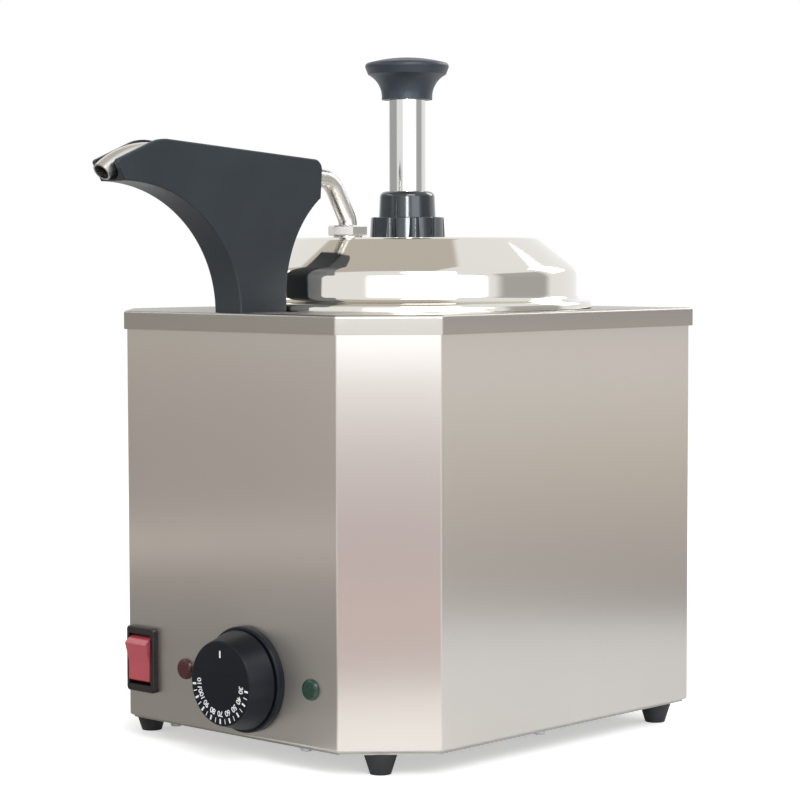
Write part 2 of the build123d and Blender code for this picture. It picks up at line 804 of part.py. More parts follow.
# ---------------------------------------------------------------- rocker switch
switch_plane = Plane(origin=(switch_x, front_y, switch_z), x_dir=(1, 0, 0), z_dir=(0, -1, 0))
rocker_y = front_y + rocker_pivot_depth
rocker_side = Plane(origin=(switch_x, rocker_y, switch_z), x_dir=(0, 1, 0), z_dir=(1, 0, 0))
with BuildPart() as switch_housing:
    with BuildSketch(switch_plane):
        RectangleRounded(switch_width, switch_length, 2 * sheet)
    extrude(amount=switch_lip)
    fillet(switch_housing.faces().sort_by(Axis.Y)[0].edges(), radius=sheet)
    with BuildSketch(switch_plane):
        Rectangle(switch_body_width, switch_body_length)
    extrude(amount=-switch_depth)
    with BuildSketch(switch_plane.offset(switch_lip)):
        Rectangle(rocker_width + 2 * rocker_gap, 2 * (rocker_radius + rocker_gap))
    extrude(amount=-(switch_lip + rocker_pivot_depth + rocker_radius), mode=Mode.SUBTRACT)
    with BuildSketch(rocker_side):
        Circle(rocker_pin_radius + shaft_fit)
    extrude(amount=rocker_width / 2 + rocker_pin_length + rocker_gap, both=True, mode=Mode.SUBTRACT)
finish(switch_housing, "switch_housing")

with BuildPart() as switch_tabs:
    with BuildSketch(switch_plane.offset(-switch_depth)):
        with GridLocations(1, switch_body_length / 3, 1, 3):
            Rectangle(tab_width, tab_gauge)
    extrude(amount=-tab_length)
finish(switch_tabs, "switch_tabs")

rocker_turn = math.radians(rocker_tilt)
rocker_rest = Plane(
    origin=(switch_x, rocker_y, switch_z),
    x_dir=(0, math.cos(rocker_turn), math.sin(rocker_turn)),
    z_dir=(1, 0, 0),
)
with BuildPart() as switch_rocker:
    with BuildSketch(rocker_rest):
        Circle(rocker_radius)
        with BuildLine():
            Polyline(
                (-rocker_pivot_depth - rocker_crown, rocker_radius),
                (-rocker_pivot_depth - rocker_trough, 0),
                (-rocker_pivot_depth - rocker_crown, -rocker_radius),
                (-2 * rocker_radius, -rocker_radius),
                (-2 * rocker_radius, rocker_radius),
                close=True,
            )
        make_face(mode=Mode.SUBTRACT)
        with Locations((rocker_radius + rocker_back_cut, 0)):
            Rectangle(2 * rocker_radius, 2 * rocker_radius, mode=Mode.SUBTRACT)
    extrude(amount=rocker_width / 2, both=True)
    with BuildSketch(rocker_side):
        Circle(rocker_pin_radius)
    extrude(amount=rocker_width / 2 + rocker_pin_length, both=True)
finish(switch_rocker, "switch_rocker")

# ---------------------------------------------------------------- lamps
for lamp_x, colour in ((red_lamp_x, "red"), (green_lamp_x, "green")):
    lamp_plane = Plane(origin=(lamp_x, front_y, control_z), x_dir=(1, 0, 0), z_dir=(0, -1, 0))
    with BuildPart() as lamp_lens:
        with BuildSketch(lamp_plane):
            Circle(lamp_radius)
        extrude(amount=lamp_dome)
        fillet(lamp_lens.faces().sort_by(Axis.Y)[0].edges(), radius=lamp_round)
        with BuildSketch(lamp_plane):
            Circle(lamp_stem_radius)
        extrude(amount=-lamp_stem_length)
    finish(lamp_lens, f"{colour}_lamp_lens")

with BuildPart() as lamp_holders:
    with BuildSketch(panel_plane.offset(-sheet)):
        with Locations((red_lamp_x, control_z), (green_lamp_x, control_z)):
            Circle(lamp_holder_radius)
    extrude(amount=-lamp_holder_depth)
    with BuildSketch(panel_plane):
        with Locations((red_lamp_x, control_z), (green_lamp_x, control_z)):
            Circle(lamp_stem_radius)
    extrude(amount=-lamp_stem_length, mode=Mode.SUBTRACT)
finish(lamp_holders, "lamp_holders")

# ---------------------------------------------------------------- mains entry and wiring posts
gland_plane = Plane(
    origin=(gland_x, back_y, base_z + gland_height), x_dir=(-1, 0, 0), z_dir=(0, 1, 0)
)
with BuildPart() as cable_gland:
    extrude(hexagon(gland_plane, gland_flange_flats), amount=gland_flange_depth)
    with BuildSketch(gland_plane):
        Circle(gland_thread_radius)
    extrude(amount=-(sheet + 2 * gland_nut_depth))
    with BuildSketch(gland_plane.offset(gland_flange_depth)):
        Circle(gland_thread_radius)
    extrude(amount=gland_cap_length / 2)
    with BuildSketch(gland_plane.offset(gland_flange_depth + gland_cap_length)):
        Circle(gland_bore_radius)
    gland_length = gland_cap_length + gland_flange_depth + sheet + 2 * gland_nut_depth
    extrude(amount=-gland_length, mode=Mode.SUBTRACT)
finish(cable_gland, "cable_gland")

with BuildPart() as gland_cap:
    with BuildSketch(gland_plane.offset(gland_flange_depth)):
        Circle(gland_cap_radius)
    extrude(amount=gland_cap_length)
    cap_end = gland_cap.faces().sort_by(Axis.Y)[-1]
    fillet(cap_end.edges(), radius=gland_cap_radius - gland_thread_radius)
    with BuildSketch(gland_plane.offset(gland_flange_depth)):
        Circle(gland_thread_radius)
    extrude(amount=gland_cap_length / 2, mode=Mode.SUBTRACT)
    with BuildSketch(gland_plane.offset(gland_flange_depth)):
        Circle(gland_bore_radius)
    extrude(amount=gland_cap_length, mode=Mode.SUBTRACT)
    with BuildSketch(gland_plane.offset(gland_flange_depth)):
        with PolarLocations(gland_cap_radius, gland_cap_grooves):
            Rectangle(sheet, 2 * sheet)
    extrude(amount=gland_cap_length / 2, mode=Mode.SUBTRACT)
finish(gland_cap, "gland_cap")

with BuildPart() as gland_locknut:
    extrude(hexagon(gland_plane.offset(-sheet), gland_flange_flats), amount=-gland_nut_depth)
    with BuildSketch(gland_plane):
        Circle(gland_thread_radius)
    extrude(amount=-sheet - gland_nut_depth, mode=Mode.SUBTRACT)
finish(gland_locknut, "gland_locknut")

with BuildPart() as terminal_block:
    terminal_plane = Plane(origin=(gland_x / 2, back_y - terminal_width - pot_corner, floor_z))
    with BuildSketch(terminal_plane):
        RectangleRounded(terminal_length, terminal_width, sheet)
    extrude(amount=terminal_height)
    with BuildSketch(terminal_plane.offset(terminal_height)):
        with GridLocations(terminal_length / 3, terminal_width / 2, 3, 2):
            Circle(terminal_screw_radius)
    extrude(amount=-terminal_height / 2, mode=Mode.SUBTRACT)
    with BuildSketch(Plane(origin=(gland_x / 2, 0, floor_z + terminal_height / 3), z_dir=(0, 1, 0))):
        with GridLocations(terminal_length / 3, 1, 3, 1):
            Circle(terminal_wire_radius)
    extrude(amount=machine_depth / 2, both=True, mode=Mode.SUBTRACT)
finish(terminal_block, "terminal_block")

with BuildPart() as earth_stud:
    earth_x = earth_stud_set_in - body_width / 2
    earth_plane = Plane(origin=(earth_x, back_y - 2 * terminal_width, floor_z))
    with BuildSketch(earth_plane):
        Circle(earth_stud_radius)
    extrude(amount=earth_stud_height)
    extrude(hexagon(earth_plane, earth_nut_flats), amount=earth_nut_height)
finish(earth_stud, "earth_stud")

# ---------------------------------------------------------------- line of the discharge tube
def at(set_back, rise):
    """A point of the side view, from the front panel and the deck."""
    return (front_y + set_back, deck_z + rise)


climb = math.radians(tube_climb)
droop = math.radians(mouth_angle)
lean = math.radians(tube_lean)
bend_centre = at(
    mouth_set + mouth_bend_radius * math.sin(droop),
    mouth_rise - mouth_bend_radius * math.cos(droop),
)
bend_start = (
    bend_centre[0] + mouth_bend_radius * math.sin(climb),
    bend_centre[1] + mouth_bend_radius * math.cos(climb),
)
union_point = (union_y, lid_top_z)
run = Vector(math.cos(climb), -math.sin(climb), 0)
rise_line = Vector(-math.sin(lean), math.cos(lean), 0)
apart = Vector(union_point[0] - bend_start[0], union_point[1] - bend_start[1], 0)
run_length = apart.cross(rise_line).Z / run.cross(rise_line).Z
elbow = (bend_start[0] + run.X * run_length, bend_start[1] + run.Y * run_length)
tube_foot = (
    union_point[0] - rise_line.X * union_boss_depth / 3,
    union_point[1] - rise_line.Y * union_boss_depth / 3,
)
mouth_arc = (90 - tube_climb, tube_climb + mouth_angle)  # start angle and sweep


def below_run(set_back):
    """The spout heater's axis, parallel to the tube's long run and below it, as (y, z)."""
    along = set_back + front_y - bend_start[0]
    drop = along * math.tan(climb) + spout_heater_drop / math.cos(climb)
    return (front_y + set_back, bend_start[1] - drop)


heater_plane = Plane(
    origin=(0, *below_run(spout_heater_front)), x_dir=(1, 0, 0), z_dir=(0, run.X, run.Y)
)
heater_height_at_duct = below_run(wire_duct_set)[1] - deck_z

# ---------------------------------------------------------------- spout shroud
with BuildPart() as shroud_blank:
    with BuildSketch(side_plane) as shroud_side:
        with BuildLine():
            back_turn = math.degrees(
                math.asin((shroud_back_rise - shroud_back_straight) / shroud_back_radius)
            )
            Line(at(shroud_foot_back, 0), at(shroud_foot_back, shroud_back_straight))
            back_arc = CenterArc(
                at(shroud_foot_back + shroud_back_radius, shroud_back_straight),
                shroud_back_radius,
                180,
                -back_turn,
            )
            heel_end = back_arc @ 1
            Polyline(
                (heel_end.X, heel_end.Y),
                (heel_end.X + shroud_heel_lean, deck_z + shroud_heel_top),
                at(shroud_brow_set, shroud_brow_rise),
                at(shroud_tip_set, shroud_tip_rise),
                at(shroud_chin_set, shroud_chin_rise),
            )
            EllipticalCenterArc(
                at(shroud_chin_set, 0),
                shroud_foot_front - shroud_chin_set,
                shroud_chin_rise,
                start_angle=0,
                arc_size=90,
            )
            Line(at(shroud_foot_front, 0), at(shroud_foot_back, 0))
        make_face()
        for place, turn in (
            (at(shroud_brow_set, shroud_brow_rise), shroud_brow_round),
            ((heel_end.X + shroud_heel_lean, deck_z + shroud_heel_top), shroud_heel_round),
            (at(shroud_tip_set, shroud_tip_rise), shroud_tip_round),
        ):
            corner = shroud_side.vertices().sort_by_distance(Vector(*place))[0]
            fillet(corner, radius=turn)
    extrude(amount=shroud_width / 2, both=True)
    side_edges = shroud_blank.faces().sort_by(Axis.X)[0].edges()
    side_edges += shroud_blank.faces().sort_by(Axis.X)[-1].edges()
    upper_edges = side_edges.filter_by(lambda edge: edge.center().Z > deck_z + sheet)
    fillet(upper_edges, radius=shroud_edge_round)

    # channel for the discharge tube, open along the top so that the tube lifts out with the lid
    channel_radius = tube_radius + channel_gap
    with BuildLine(side_plane) as channel_route:
        CenterArc(bend_centre, mouth_bend_radius, *mouth_arc)
        Line(bend_start, elbow)
        mouth_way = Vector(-math.cos(droop), -math.sin(droop), 0) * tube_radius
        mouth_end = Vector(*at(mouth_set, mouth_rise)) + mouth_way
        Line(at(mouth_set, mouth_rise), (mouth_end.X, mouth_end.Y))
    with BuildSketch(Plane(origin=channel_route.line @ 0, z_dir=channel_route.line % 0)):
        Circle(channel_radius)
    sweep(path=channel_route.line, mode=Mode.SUBTRACT)
    with BuildSketch(side_plane):
        with BuildLine():
            CenterArc(bend_centre, mouth_bend_radius, *mouth_arc)
            Line(bend_start, elbow)
            Polyline(
                elbow,
                (elbow[0], elbow[1] + mouth_bend_radius),
                (mouth_end.X, elbow[1] + mouth_bend_radius),
                (mouth_end.X, mouth_end.Y),
                at(mouth_set, mouth_rise),
            )
        make_face()
    extrude(amount=channel_radius, both=True, mode=Mode.SUBTRACT)

    # bore of the cartridge heater, the duct of its leads and the pocket of the post
    with BuildSketch(heater_plane):
        Circle(spout_heater_radius + post_gap)
    extrude(amount=spout_heater_length + post_gap, mode=Mode.SUBTRACT)
    with BuildSketch(Plane.XY.offset(deck_z)):
        with Locations((0, front_y + wire_duct_set)):
            Circle(wire_hole_radius)
    extrude(amount=heater_height_at_duct, mode=Mode.SUBTRACT)
    with BuildSketch(Plane.XY.offset(deck_z)):
        with Locations((0, front_y + post_set_back)):
            Rectangle(post_width + 2 * post_gap, post_depth + 2 * post_gap)
    extrude(amount=post_height + post_gap, mode=Mode.SUBTRACT)

    # screw holes, headed on the left side and tapped in the right half
    for set_back, rise in shroud_screw_places:
        with BuildSketch(side_plane.offset(-shroud_width / 2)):
            with Locations(at(set_back, rise)):
                Circle(small_head_radius + screw_clearance)
        extrude(amount=small_head_height + screw_clearance, mode=Mode.SUBTRACT)
        with BuildSketch(side_plane.offset(-shroud_width / 2)):
            with Locations(at(set_back, rise)):
                Circle(small_screw_radius + screw_clearance)
        extrude(amount=shroud_width / 2, mode=Mode.SUBTRACT)
        with BuildSketch(side_plane):
            with Locations(at(set_back, rise)):
                Circle(small_screw_radius)
        extrude(amount=shroud_screw_grip, mode=Mode.SUBTRACT)

with BuildPart() as spout_shroud_right:
    add(shroud_blank.part)
    split(bisect_by=Plane.YZ, keep=Keep.TOP)
finish(spout_shroud_right, "spout_shroud_right")

with BuildPart() as spout_shroud_left:
    add(shroud_blank.part)
    split(bisect_by=Plane.YZ, keep=Keep.BOTTOM)
finish(spout_shroud_left, "spout_shroud_left")

with BuildPart() as shroud_screws:
    for set_back, rise in shroud_screw_places:
        y, z = at(set_back, rise)
        with Locations(Location((0, y, z), (0, 90, 0))):
            head_seat = small_head_height + screw_clearance - shroud_width / 2
            add(pan_screw(head_seat, shroud_screw_grip - sheet - head_seat))
finish(shroud_screws, "shroud_screws")

with BuildPart() as spout_post:
    with BuildSketch(Plane.XY.offset(deck_z)):
        with Locations((0, front_y + post_set_back)):
            Rectangle(post_width, post_depth)
    extrude(amount=post_height)
    chamfer(spout_post.faces().sort_by(Axis.Z)[-1].edges(), length=sheet / 2)
    with BuildSketch(Plane.XY.offset(deck_z)):
        with Locations((0, front_y + post_set_back)):
            with GridLocations(1, post_depth / 2, 1, 2):
                Circle(small_screw_radius)
    extrude(amount=post_height / 3, mode=Mode.SUBTRACT)
finish(spout_post, "spout_post")

with BuildPart() as post_screws:
    with Locations((0, front_y + post_set_back)):
        with GridLocations(1, post_depth / 2, 1, 2):
            add(pan_screw(deck_z - sheet, post_height / 4))
finish(post_screws, "post_screws")

with BuildPart() as spout_heater:
    with BuildSketch(heater_plane):
        Circle(spout_heater_radius)
    extrude(amount=spout_heater_length)
    fillet(spout_heater.edges().filter_by(GeomType.CIRCLE), radius=spout_heater_radius / 5)
finish(spout_heater, "spout_heater")

# ---------------------------------------------------------------- lid
lid_under_z = lid_top_z - lid_gauge
with BuildPart() as lid:
    revolve(
        spun_profile(
            [
                (lid_flange_radius, pot_rim_z),
                (lid_flat_radius, pot_rim_z),
                (lid_wall_radius - lid_gauge, pot_rim_z + lid_sweep_height),
                (lid_wall_radius - lid_gauge, pot_rim_z + lid_shoulder_height),
                (lid_top_radius, lid_under_z),
                (barrel_radius + lid_hole_gap, lid_under_z),
            ],
            lid_rounds,
            lid_gauge,
            Side.RIGHT,
        ),
        axis=pump_axis,
    )
    extrude(
        disc(level(lid_top_z, 0, union_y - pump_y), union_stem_radius + lid_hole_gap),
        amount=-2 * lid_gauge,
        mode=Mode.SUBTRACT,
    )
finish(lid, "lid")

# ---------------------------------------------------------------- pump body
with BuildPart() as pump_barrel:
    barrel_top_z = cap_top_z - guide_cap_roof - barrel_top_gap
    revolve(
        turned_profile(
            [
                (barrel_radius - barrel_gauge, barrel_z),
                (barrel_radius, barrel_z),
                (barrel_radius, seat_z),
                (barrel_flange_radius, seat_z),
                (barrel_flange_radius, seat_z + barrel_flange_gauge),
                (barrel_radius, seat_z + barrel_flange_gauge),
                (barrel_radius, barrel_top_z),
                (barrel_radius - barrel_gauge, barrel_top_z),
            ]
        ),
        axis=pump_axis,
    )
finish(pump_barrel, "pump_barrel")

with BuildPart() as lid_gasket:
    gasket_plane = level(seat_z + barrel_flange_gauge)
    extrude(disc(gasket_plane, barrel_flange_radius, barrel_radius), amount=gasket_thickness)
finish(lid_gasket, "lid_gasket")

with BuildPart() as lock_collar:
    with BuildSketch(level(lid_top_z)) as collar_outline:
        Circle(collar_radius)
        with PolarLocations(collar_radius + collar_flute_radius / 2, collar_flutes):
            Circle(collar_flute_radius, mode=Mode.SUBTRACT)
        fillet(collar_outline.vertices(), radius=collar_corner)
    extrude(amount=collar_height)
    with Locations((0, pump_y, lid_top_z + collar_height / 2)):
        Cone(collar_radius, collar_top_radius, collar_height, mode=Mode.INTERSECT)
    chamfer(lock_collar.faces().sort_by(Axis.Z)[-1].edges(), length=collar_corner / 3)
    extrude(
        disc(level(lid_top_z), barrel_radius + thread_fit),
        amount=collar_height,
        mode=Mode.SUBTRACT,
    )
finish(lock_collar, "lock_collar")

with BuildPart() as guide_cap:
    with BuildSketch(level(collar_top_z)) as cap_foot:
        Circle(guide_cap_radius)
    with BuildSketch(level(cap_top_z)) as cap_roof:
        Circle(guide_cap_top_radius)
    loft(sections=[cap_foot.sketch, cap_roof.sketch])
    fillet(guide_cap.faces().sort_by(Axis.Z)[-1].edges(), radius=guide_cap_round)
    extrude(
        disc(level(collar_top_z), barrel_radius + thread_fit),
        amount=guide_cap_height - guide_cap_roof,
        mode=Mode.SUBTRACT,
    )
    extrude(
        disc(level(cap_top_z), rod_radius + rod_fit),
        amount=-guide_cap_height,
        mode=Mode.SUBTRACT,
    )
finish(guide_cap, "guide_cap")

# ---------------------------------------------------------------- plunger
with BuildPart() as pump_knob:
    knob_corner_z = knob_base_z + pump_knob_height - pump_knob_crown - pump_knob_side
    knob_edge_z = knob_corner_z + pump_knob_side
    knob_top_z = knob_edge_z + pump_knob_crown
    hub_edge = (pump_knob_hub_radius, knob_base_z + pump_knob_hub_height)
    flare_end = (pump_knob_flare_radius, knob_corner_z)
    knob_edge = (pump_knob_radius, knob_edge_z)
    with BuildSketch(pump_plane) as knob_half:
        with BuildLine():
            Polyline(
                (0, knob_top_z),
                (0, rod_top_z),
                (rod_radius, rod_top_z),
                (rod_radius, knob_base_z),
                (pump_knob_hub_radius, knob_base_z),
                hub_edge,
            )
            flare = TangentArc(hub_edge, flare_end, tangent=(0, 1))
            Line(flare @ 1, knob_edge)
            crown_radius = (pump_knob_radius**2 + pump_knob_crown**2) / (2 * pump_knob_crown)
            RadiusArc(knob_edge, (0, knob_top_z), -crown_radius)
        make_face()
        for place, turn in ((flare_end, pump_knob_flare_round), (knob_edge, pump_knob_round)):
            corner = knob_half.vertices().sort_by_distance(Vector(*place))[0]
            fillet(corner, radius=turn)
    revolve(axis=pump_axis)
finish(pump_knob, "pump_knob")

with BuildPart() as pump_rod:
    rod_bottom_z = piston_z + piston_length
    extrude(
        disc(level(rod_bottom_z), rod_radius, rod_radius - rod_wall),
        amount=rod_top_z - rod_end_gap - rod_bottom_z,
    )
finish(pump_rod, "pump_rod")

bore_radius = barrel_radius - barrel_gauge
seal_radius = bore_radius - seal_squeeze_gap - seal_wire_radius
seal_heights = [piston_z + piston_length / 4, piston_z + piston_length * 3 / 4]
with BuildPart() as piston:
    extrude(disc(level(piston_z), bore_radius - piston_fit), amount=piston_length)
    chamfer(piston.edges().filter_by(GeomType.CIRCLE), length=seal_wire_radius / 2)
    for height in seal_heights:
        extrude(
            disc(
                level(height - seal_wire_radius),
                barrel_radius,
                seal_radius - seal_wire_radius,
            ),
            amount=2 * seal_wire_radius,
            mode=Mode.SUBTRACT,
        )
    extrude(disc(level(rod_bottom_z), rod_radius - rod_wall - rod_fit), amount=piston_neck)
finish(piston, "piston")

with BuildPart() as piston_seals:
    for height in seal_heights:
        with Locations((0, pump_y, height)):
            Torus(seal_radius, seal_wire_radius)
finish(piston_seals, "piston_seals")

with BuildPart() as return_spring:
    spring_length = piston_z - spring_z - 2 * spring_wire_radius
    with BuildLine(level(spring_z + spring_wire_radius)) as spring_path:
        Helix(pitch=spring_length / spring_coils, height=spring_length, radius=spring_radius)
    with BuildSketch(Plane(origin=spring_path.line @ 0, z_dir=spring_path.line % 0)):
        Circle(spring_wire_radius)
    sweep(path=spring_path.line, is_frenet=True)
finish(return_spring, "return_spring")

# ---------------------------------------------------------------- valve block
riser_y = union_y - pump_y
intake_seat_z = valve_z + intake_seat_rise
outlet_seat_z = barrel_z
riser_boss_top_z = barrel_z + riser_boss_height
with BuildPart() as valve_block:
    with BuildSketch(level(valve_z)):
        Circle(valve_block_radius)
        with Locations((0, riser_y)):
            Circle(riser_boss_radius)
        make_hull()
    extrude(amount=valve_block_height)
    extrude(disc(level(barrel_z), bore_radius - thread_fit), amount=spigot_height)
    extrude(disc(level(barrel_z, 0, riser_y), riser_boss_radius), amount=riser_boss_height)
    extrude(disc(level(valve_z), intake_radius), amount=spigot_height * 2, mode=Mode.SUBTRACT)
    extrude(
        disc(level(intake_seat_z), intake_chamber_radius),
        amount=spring_z - intake_seat_z,
        mode=Mode.SUBTRACT,
    )
    with BuildSketch(Plane(origin=(0, pump_y, valve_z + passage_rise), z_dir=(0, -1, 0))):
        Circle(outlet_radius)
    extrude(amount=-riser_y, mode=Mode.SUBTRACT)
    extrude(
        disc(level(valve_z + passage_rise, 0, riser_y), outlet_radius),
        amount=outlet_seat_z - valve_z - passage_rise,
        mode=Mode.SUBTRACT,
    )
    extrude(
        disc(level(outlet_seat_z, 0, riser_y), tube_radius),
        amount=riser_boss_height,
        mode=Mode.SUBTRACT,
    )
    intake_pin_z = spring_z - cage_pin_drop
    outlet_pin_z = riser_boss_top_z - riser_socket - cage_pin_drop
    for reach, pin_y, pin_z in (
        (intake_chamber_radius, 0, intake_pin_z),
        (tube_radius, riser_y, outlet_pin_z),
    ):
        with BuildSketch(Plane(origin=(0, pump_y + pin_y, pin_z), z_dir=(1, 0, 0))):
            Circle(cage_pin_radius)
        extrude(amount=reach + cage_pin_radius / 2, both=True)
finish(valve_block, "valve_block")


def seated_ball(ball_radius, seat_radius, seat_height, y):
    """A valve ball resting in the edge of its seat's bore."""
    rise = math.sqrt(ball_radius**2 - seat_radius**2) + ball_gap
    with BuildPart() as ball:
        with Locations((0, pump_y + y, seat_height + rise)):
            Sphere(ball_radius)
    return ball


finish(seated_ball(intake_ball_radius, intake_radius, intake_seat_z, 0), "intake_ball")
finish(seated_ball(outlet_ball_radius, outlet_radius, outlet_seat_z, riser_y), "outlet_ball")

# ---------------------------------------------------------------- riser, union and discharge tube
union_plane = Plane(
    origin=(0, *union_point), x_dir=(1, 0, 0), z_dir=(0, rise_line.X, rise_line.Y)
)
stem_bottom_z = lid_under_z - union_stem_length
riser_top_z = lid_top_z - union_boss_depth
with BuildPart() as riser_tube:
    extrude(
        disc(
            level(riser_boss_top_z - riser_socket, 0, riser_y), tube_radius, tube_radius - tube_wall
        ),
        amount=riser_top_z - riser_boss_top_z + riser_socket,
    )
finish(riser_tube, "riser_tube")

with BuildPart() as tube_union:
    extrude(
        disc(union_plane.offset(-union_boss_depth), union_boss_radius),
        amount=union_boss_depth + union_boss_rise,
    )
    extrude(
        disc(union_plane.offset(union_boss_rise), union_stem_radius),
        amount=union_thread_length,
    )
    with BuildSketch(level(lid_top_z, 0, riser_y)):
        Rectangle(4 * union_boss_radius, 4 * union_boss_radius)
    extrude(amount=-2 * union_boss_radius, mode=Mode.SUBTRACT)
    extrude(
        disc(level(stem_bottom_z, 0, riser_y), union_stem_radius),
        amount=lid_top_z - stem_bottom_z,
    )
    extrude(
        disc(level(stem_bottom_z, 0, riser_y), tube_radius),
        amount=riser_top_z - stem_bottom_z,
        mode=Mode.SUBTRACT,
    )
    extrude(
        disc(level(riser_top_z, 0, riser_y), tube_radius - tube_wall),
        amount=union_boss_depth,
        mode=Mode.SUBTRACT,
    )
    extrude(
        disc(union_plane.offset(-union_boss_depth / 3), tube_radius),
        amount=union_boss_depth + union_boss_rise,
        mode=Mode.SUBTRACT,
    )
finish(tube_union, "tube_union")

with BuildPart() as union_locknut:
    extrude(hexagon(level(lid_under_z, 0, riser_y), union_nut_flats), amount=-union_locknut_depth)
    extrude(
        disc(level(lid_under_z, 0, riser_y), union_stem_radius),
        amount=-union_locknut_depth,
        mode=Mode.SUBTRACT,
    )
finish(union_locknut, "union_locknut")

with BuildPart() as union_nut:
    nut_plane = union_plane.offset(union_boss_rise)
    extrude(hexagon(nut_plane, union_nut_flats), amount=union_nut_height)
    extrude(
        disc(nut_plane, union_stem_radius),
        amount=union_thread_length,
        mode=Mode.SUBTRACT,
    )
    extrude(disc(nut_plane, tube_radius), amount=union_nut_height, mode=Mode.SUBTRACT)
finish(union_nut, "union_nut")

with BuildPart() as discharge_tube:
    with BuildLine(side_plane) as tube_path:
        FilletPolyline(tube_foot, elbow, bend_start, radius=tube_elbow_radius)
        CenterArc(bend_centre, mouth_bend_radius, *mouth_arc)
    with BuildSketch(Plane(origin=tube_path.line @ 0, z_dir=tube_path.line % 0)):
        Circle(tube_radius)
        Circle(tube_radius - tube_wall, mode=Mode.SUBTRACT)
    sweep(path=tube_path.line)
finish(discharge_tube, "discharge_tube")
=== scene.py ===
"""Looks for a countertop topping warmer.

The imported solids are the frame. This script gives each of them its finish, makes the pieces whose
shape the solids simplify (lid, spout tube, union, dial knob, return spring), prints the dial, and
sets up the studio and the camera.
"""

from __future__ import annotations

import logging
import math

from dataclasses import dataclass
from enum import Enum
from typing import ClassVar

import bpy
from bpy.types import Material, Node, NodeSocket, NodeTree, Object, World
from mathutils import Matrix, Vector


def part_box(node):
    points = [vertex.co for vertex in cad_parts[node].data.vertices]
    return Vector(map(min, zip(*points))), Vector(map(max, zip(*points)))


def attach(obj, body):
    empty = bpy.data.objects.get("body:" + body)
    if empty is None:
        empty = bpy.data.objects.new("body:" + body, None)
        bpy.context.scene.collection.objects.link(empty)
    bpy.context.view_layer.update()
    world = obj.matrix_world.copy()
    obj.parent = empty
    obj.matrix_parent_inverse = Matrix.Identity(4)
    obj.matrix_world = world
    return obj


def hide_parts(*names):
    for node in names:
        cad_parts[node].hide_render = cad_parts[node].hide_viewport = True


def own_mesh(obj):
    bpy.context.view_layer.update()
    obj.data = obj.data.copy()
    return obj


logging.basicConfig(level=logging.INFO, format="%(message)s")
log = logging.getLogger("warmer")

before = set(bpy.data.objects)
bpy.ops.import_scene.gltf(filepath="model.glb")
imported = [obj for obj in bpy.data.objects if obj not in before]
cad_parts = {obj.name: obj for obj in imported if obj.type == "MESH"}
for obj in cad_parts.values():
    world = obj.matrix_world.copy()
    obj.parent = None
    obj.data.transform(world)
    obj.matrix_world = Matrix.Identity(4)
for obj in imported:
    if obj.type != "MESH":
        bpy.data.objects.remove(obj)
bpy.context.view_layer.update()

MM = 0.001
WHITE = (1.0, 1.0, 1.0, 1.0)
Inputs = dict[str | int, object]
Corners = list[tuple[float, float, float]]  # two coordinates and a rounding radius each
PUMP_AXIS_Y_MM = 44.385  # the lid's and the pump's axis stands at x = 0 and this y
UNION_AHEAD_MM = 43.0  # from the pump's axis forward to the union's


# ---------------------------------------------------------------- small helpers
def linear(hex_colour: str) -> tuple[float, float, float, float]:
    """Turns an sRGB hex colour into linear RGBA.

    Args:
        hex_colour: six hex digits after a hash sign.

    Returns:
        The linear red, green, blue and an alpha of 1.
    """
    channels = [int(hex_colour[i : i + 2], 16) / 255 for i in (1, 3, 5)]
    return (*[c / 12.92 if c <= 0.04045 else ((c + 0.055) / 1.055) ** 2.4 for c in channels], 1.0)


def per_metre(size_mm: float) -> float:
    """The texture scale at which one cell of a pattern measures size_mm millimetres."""
    return 1.0 / (size_mm * MM)


def add_node(tree: NodeTree, kind: str, inputs: Inputs | None = None, **settings: object) -> Node:
    """Adds a node, with its settings, values and incoming links.

    Args:
        tree: the node tree that the node joins.
        kind: the node's type name.
        inputs: values or output sockets, by input name or index.
        settings: attributes of the node itself.

    Returns:
        The new node.
    """
    node = tree.nodes.new(kind)
    for name, value in settings.items():
        setattr(node, name, value)
    for key, value in (inputs or {}).items():
        if isinstance(value, NodeSocket):
            tree.links.new(value, node.inputs[key])
        else:
            node.inputs[key].default_value = value
    return node


def maths(tree: NodeTree, operation: str, *terms: float | NodeSocket) -> NodeSocket:
    """Adds a maths node.

    Args:
        tree: the node tree that the node joins.
        operation: the node's operation.
        terms: its inputs, in order.

    Returns:
        The socket with the result.
    """
    node = add_node(tree, "ShaderNodeMath", dict(enumerate(terms)), operation=operation)
    return node.outputs["Value"]


def bare_tree(owner: Material | World) -> NodeTree:
    """Empties the node tree of a new material or world.

    Args:
        owner: the material or world.

    Returns:
        Its tree.
    """
    owner.use_nodes = True
    owner.node_tree.nodes.clear()
    return owner.node_tree


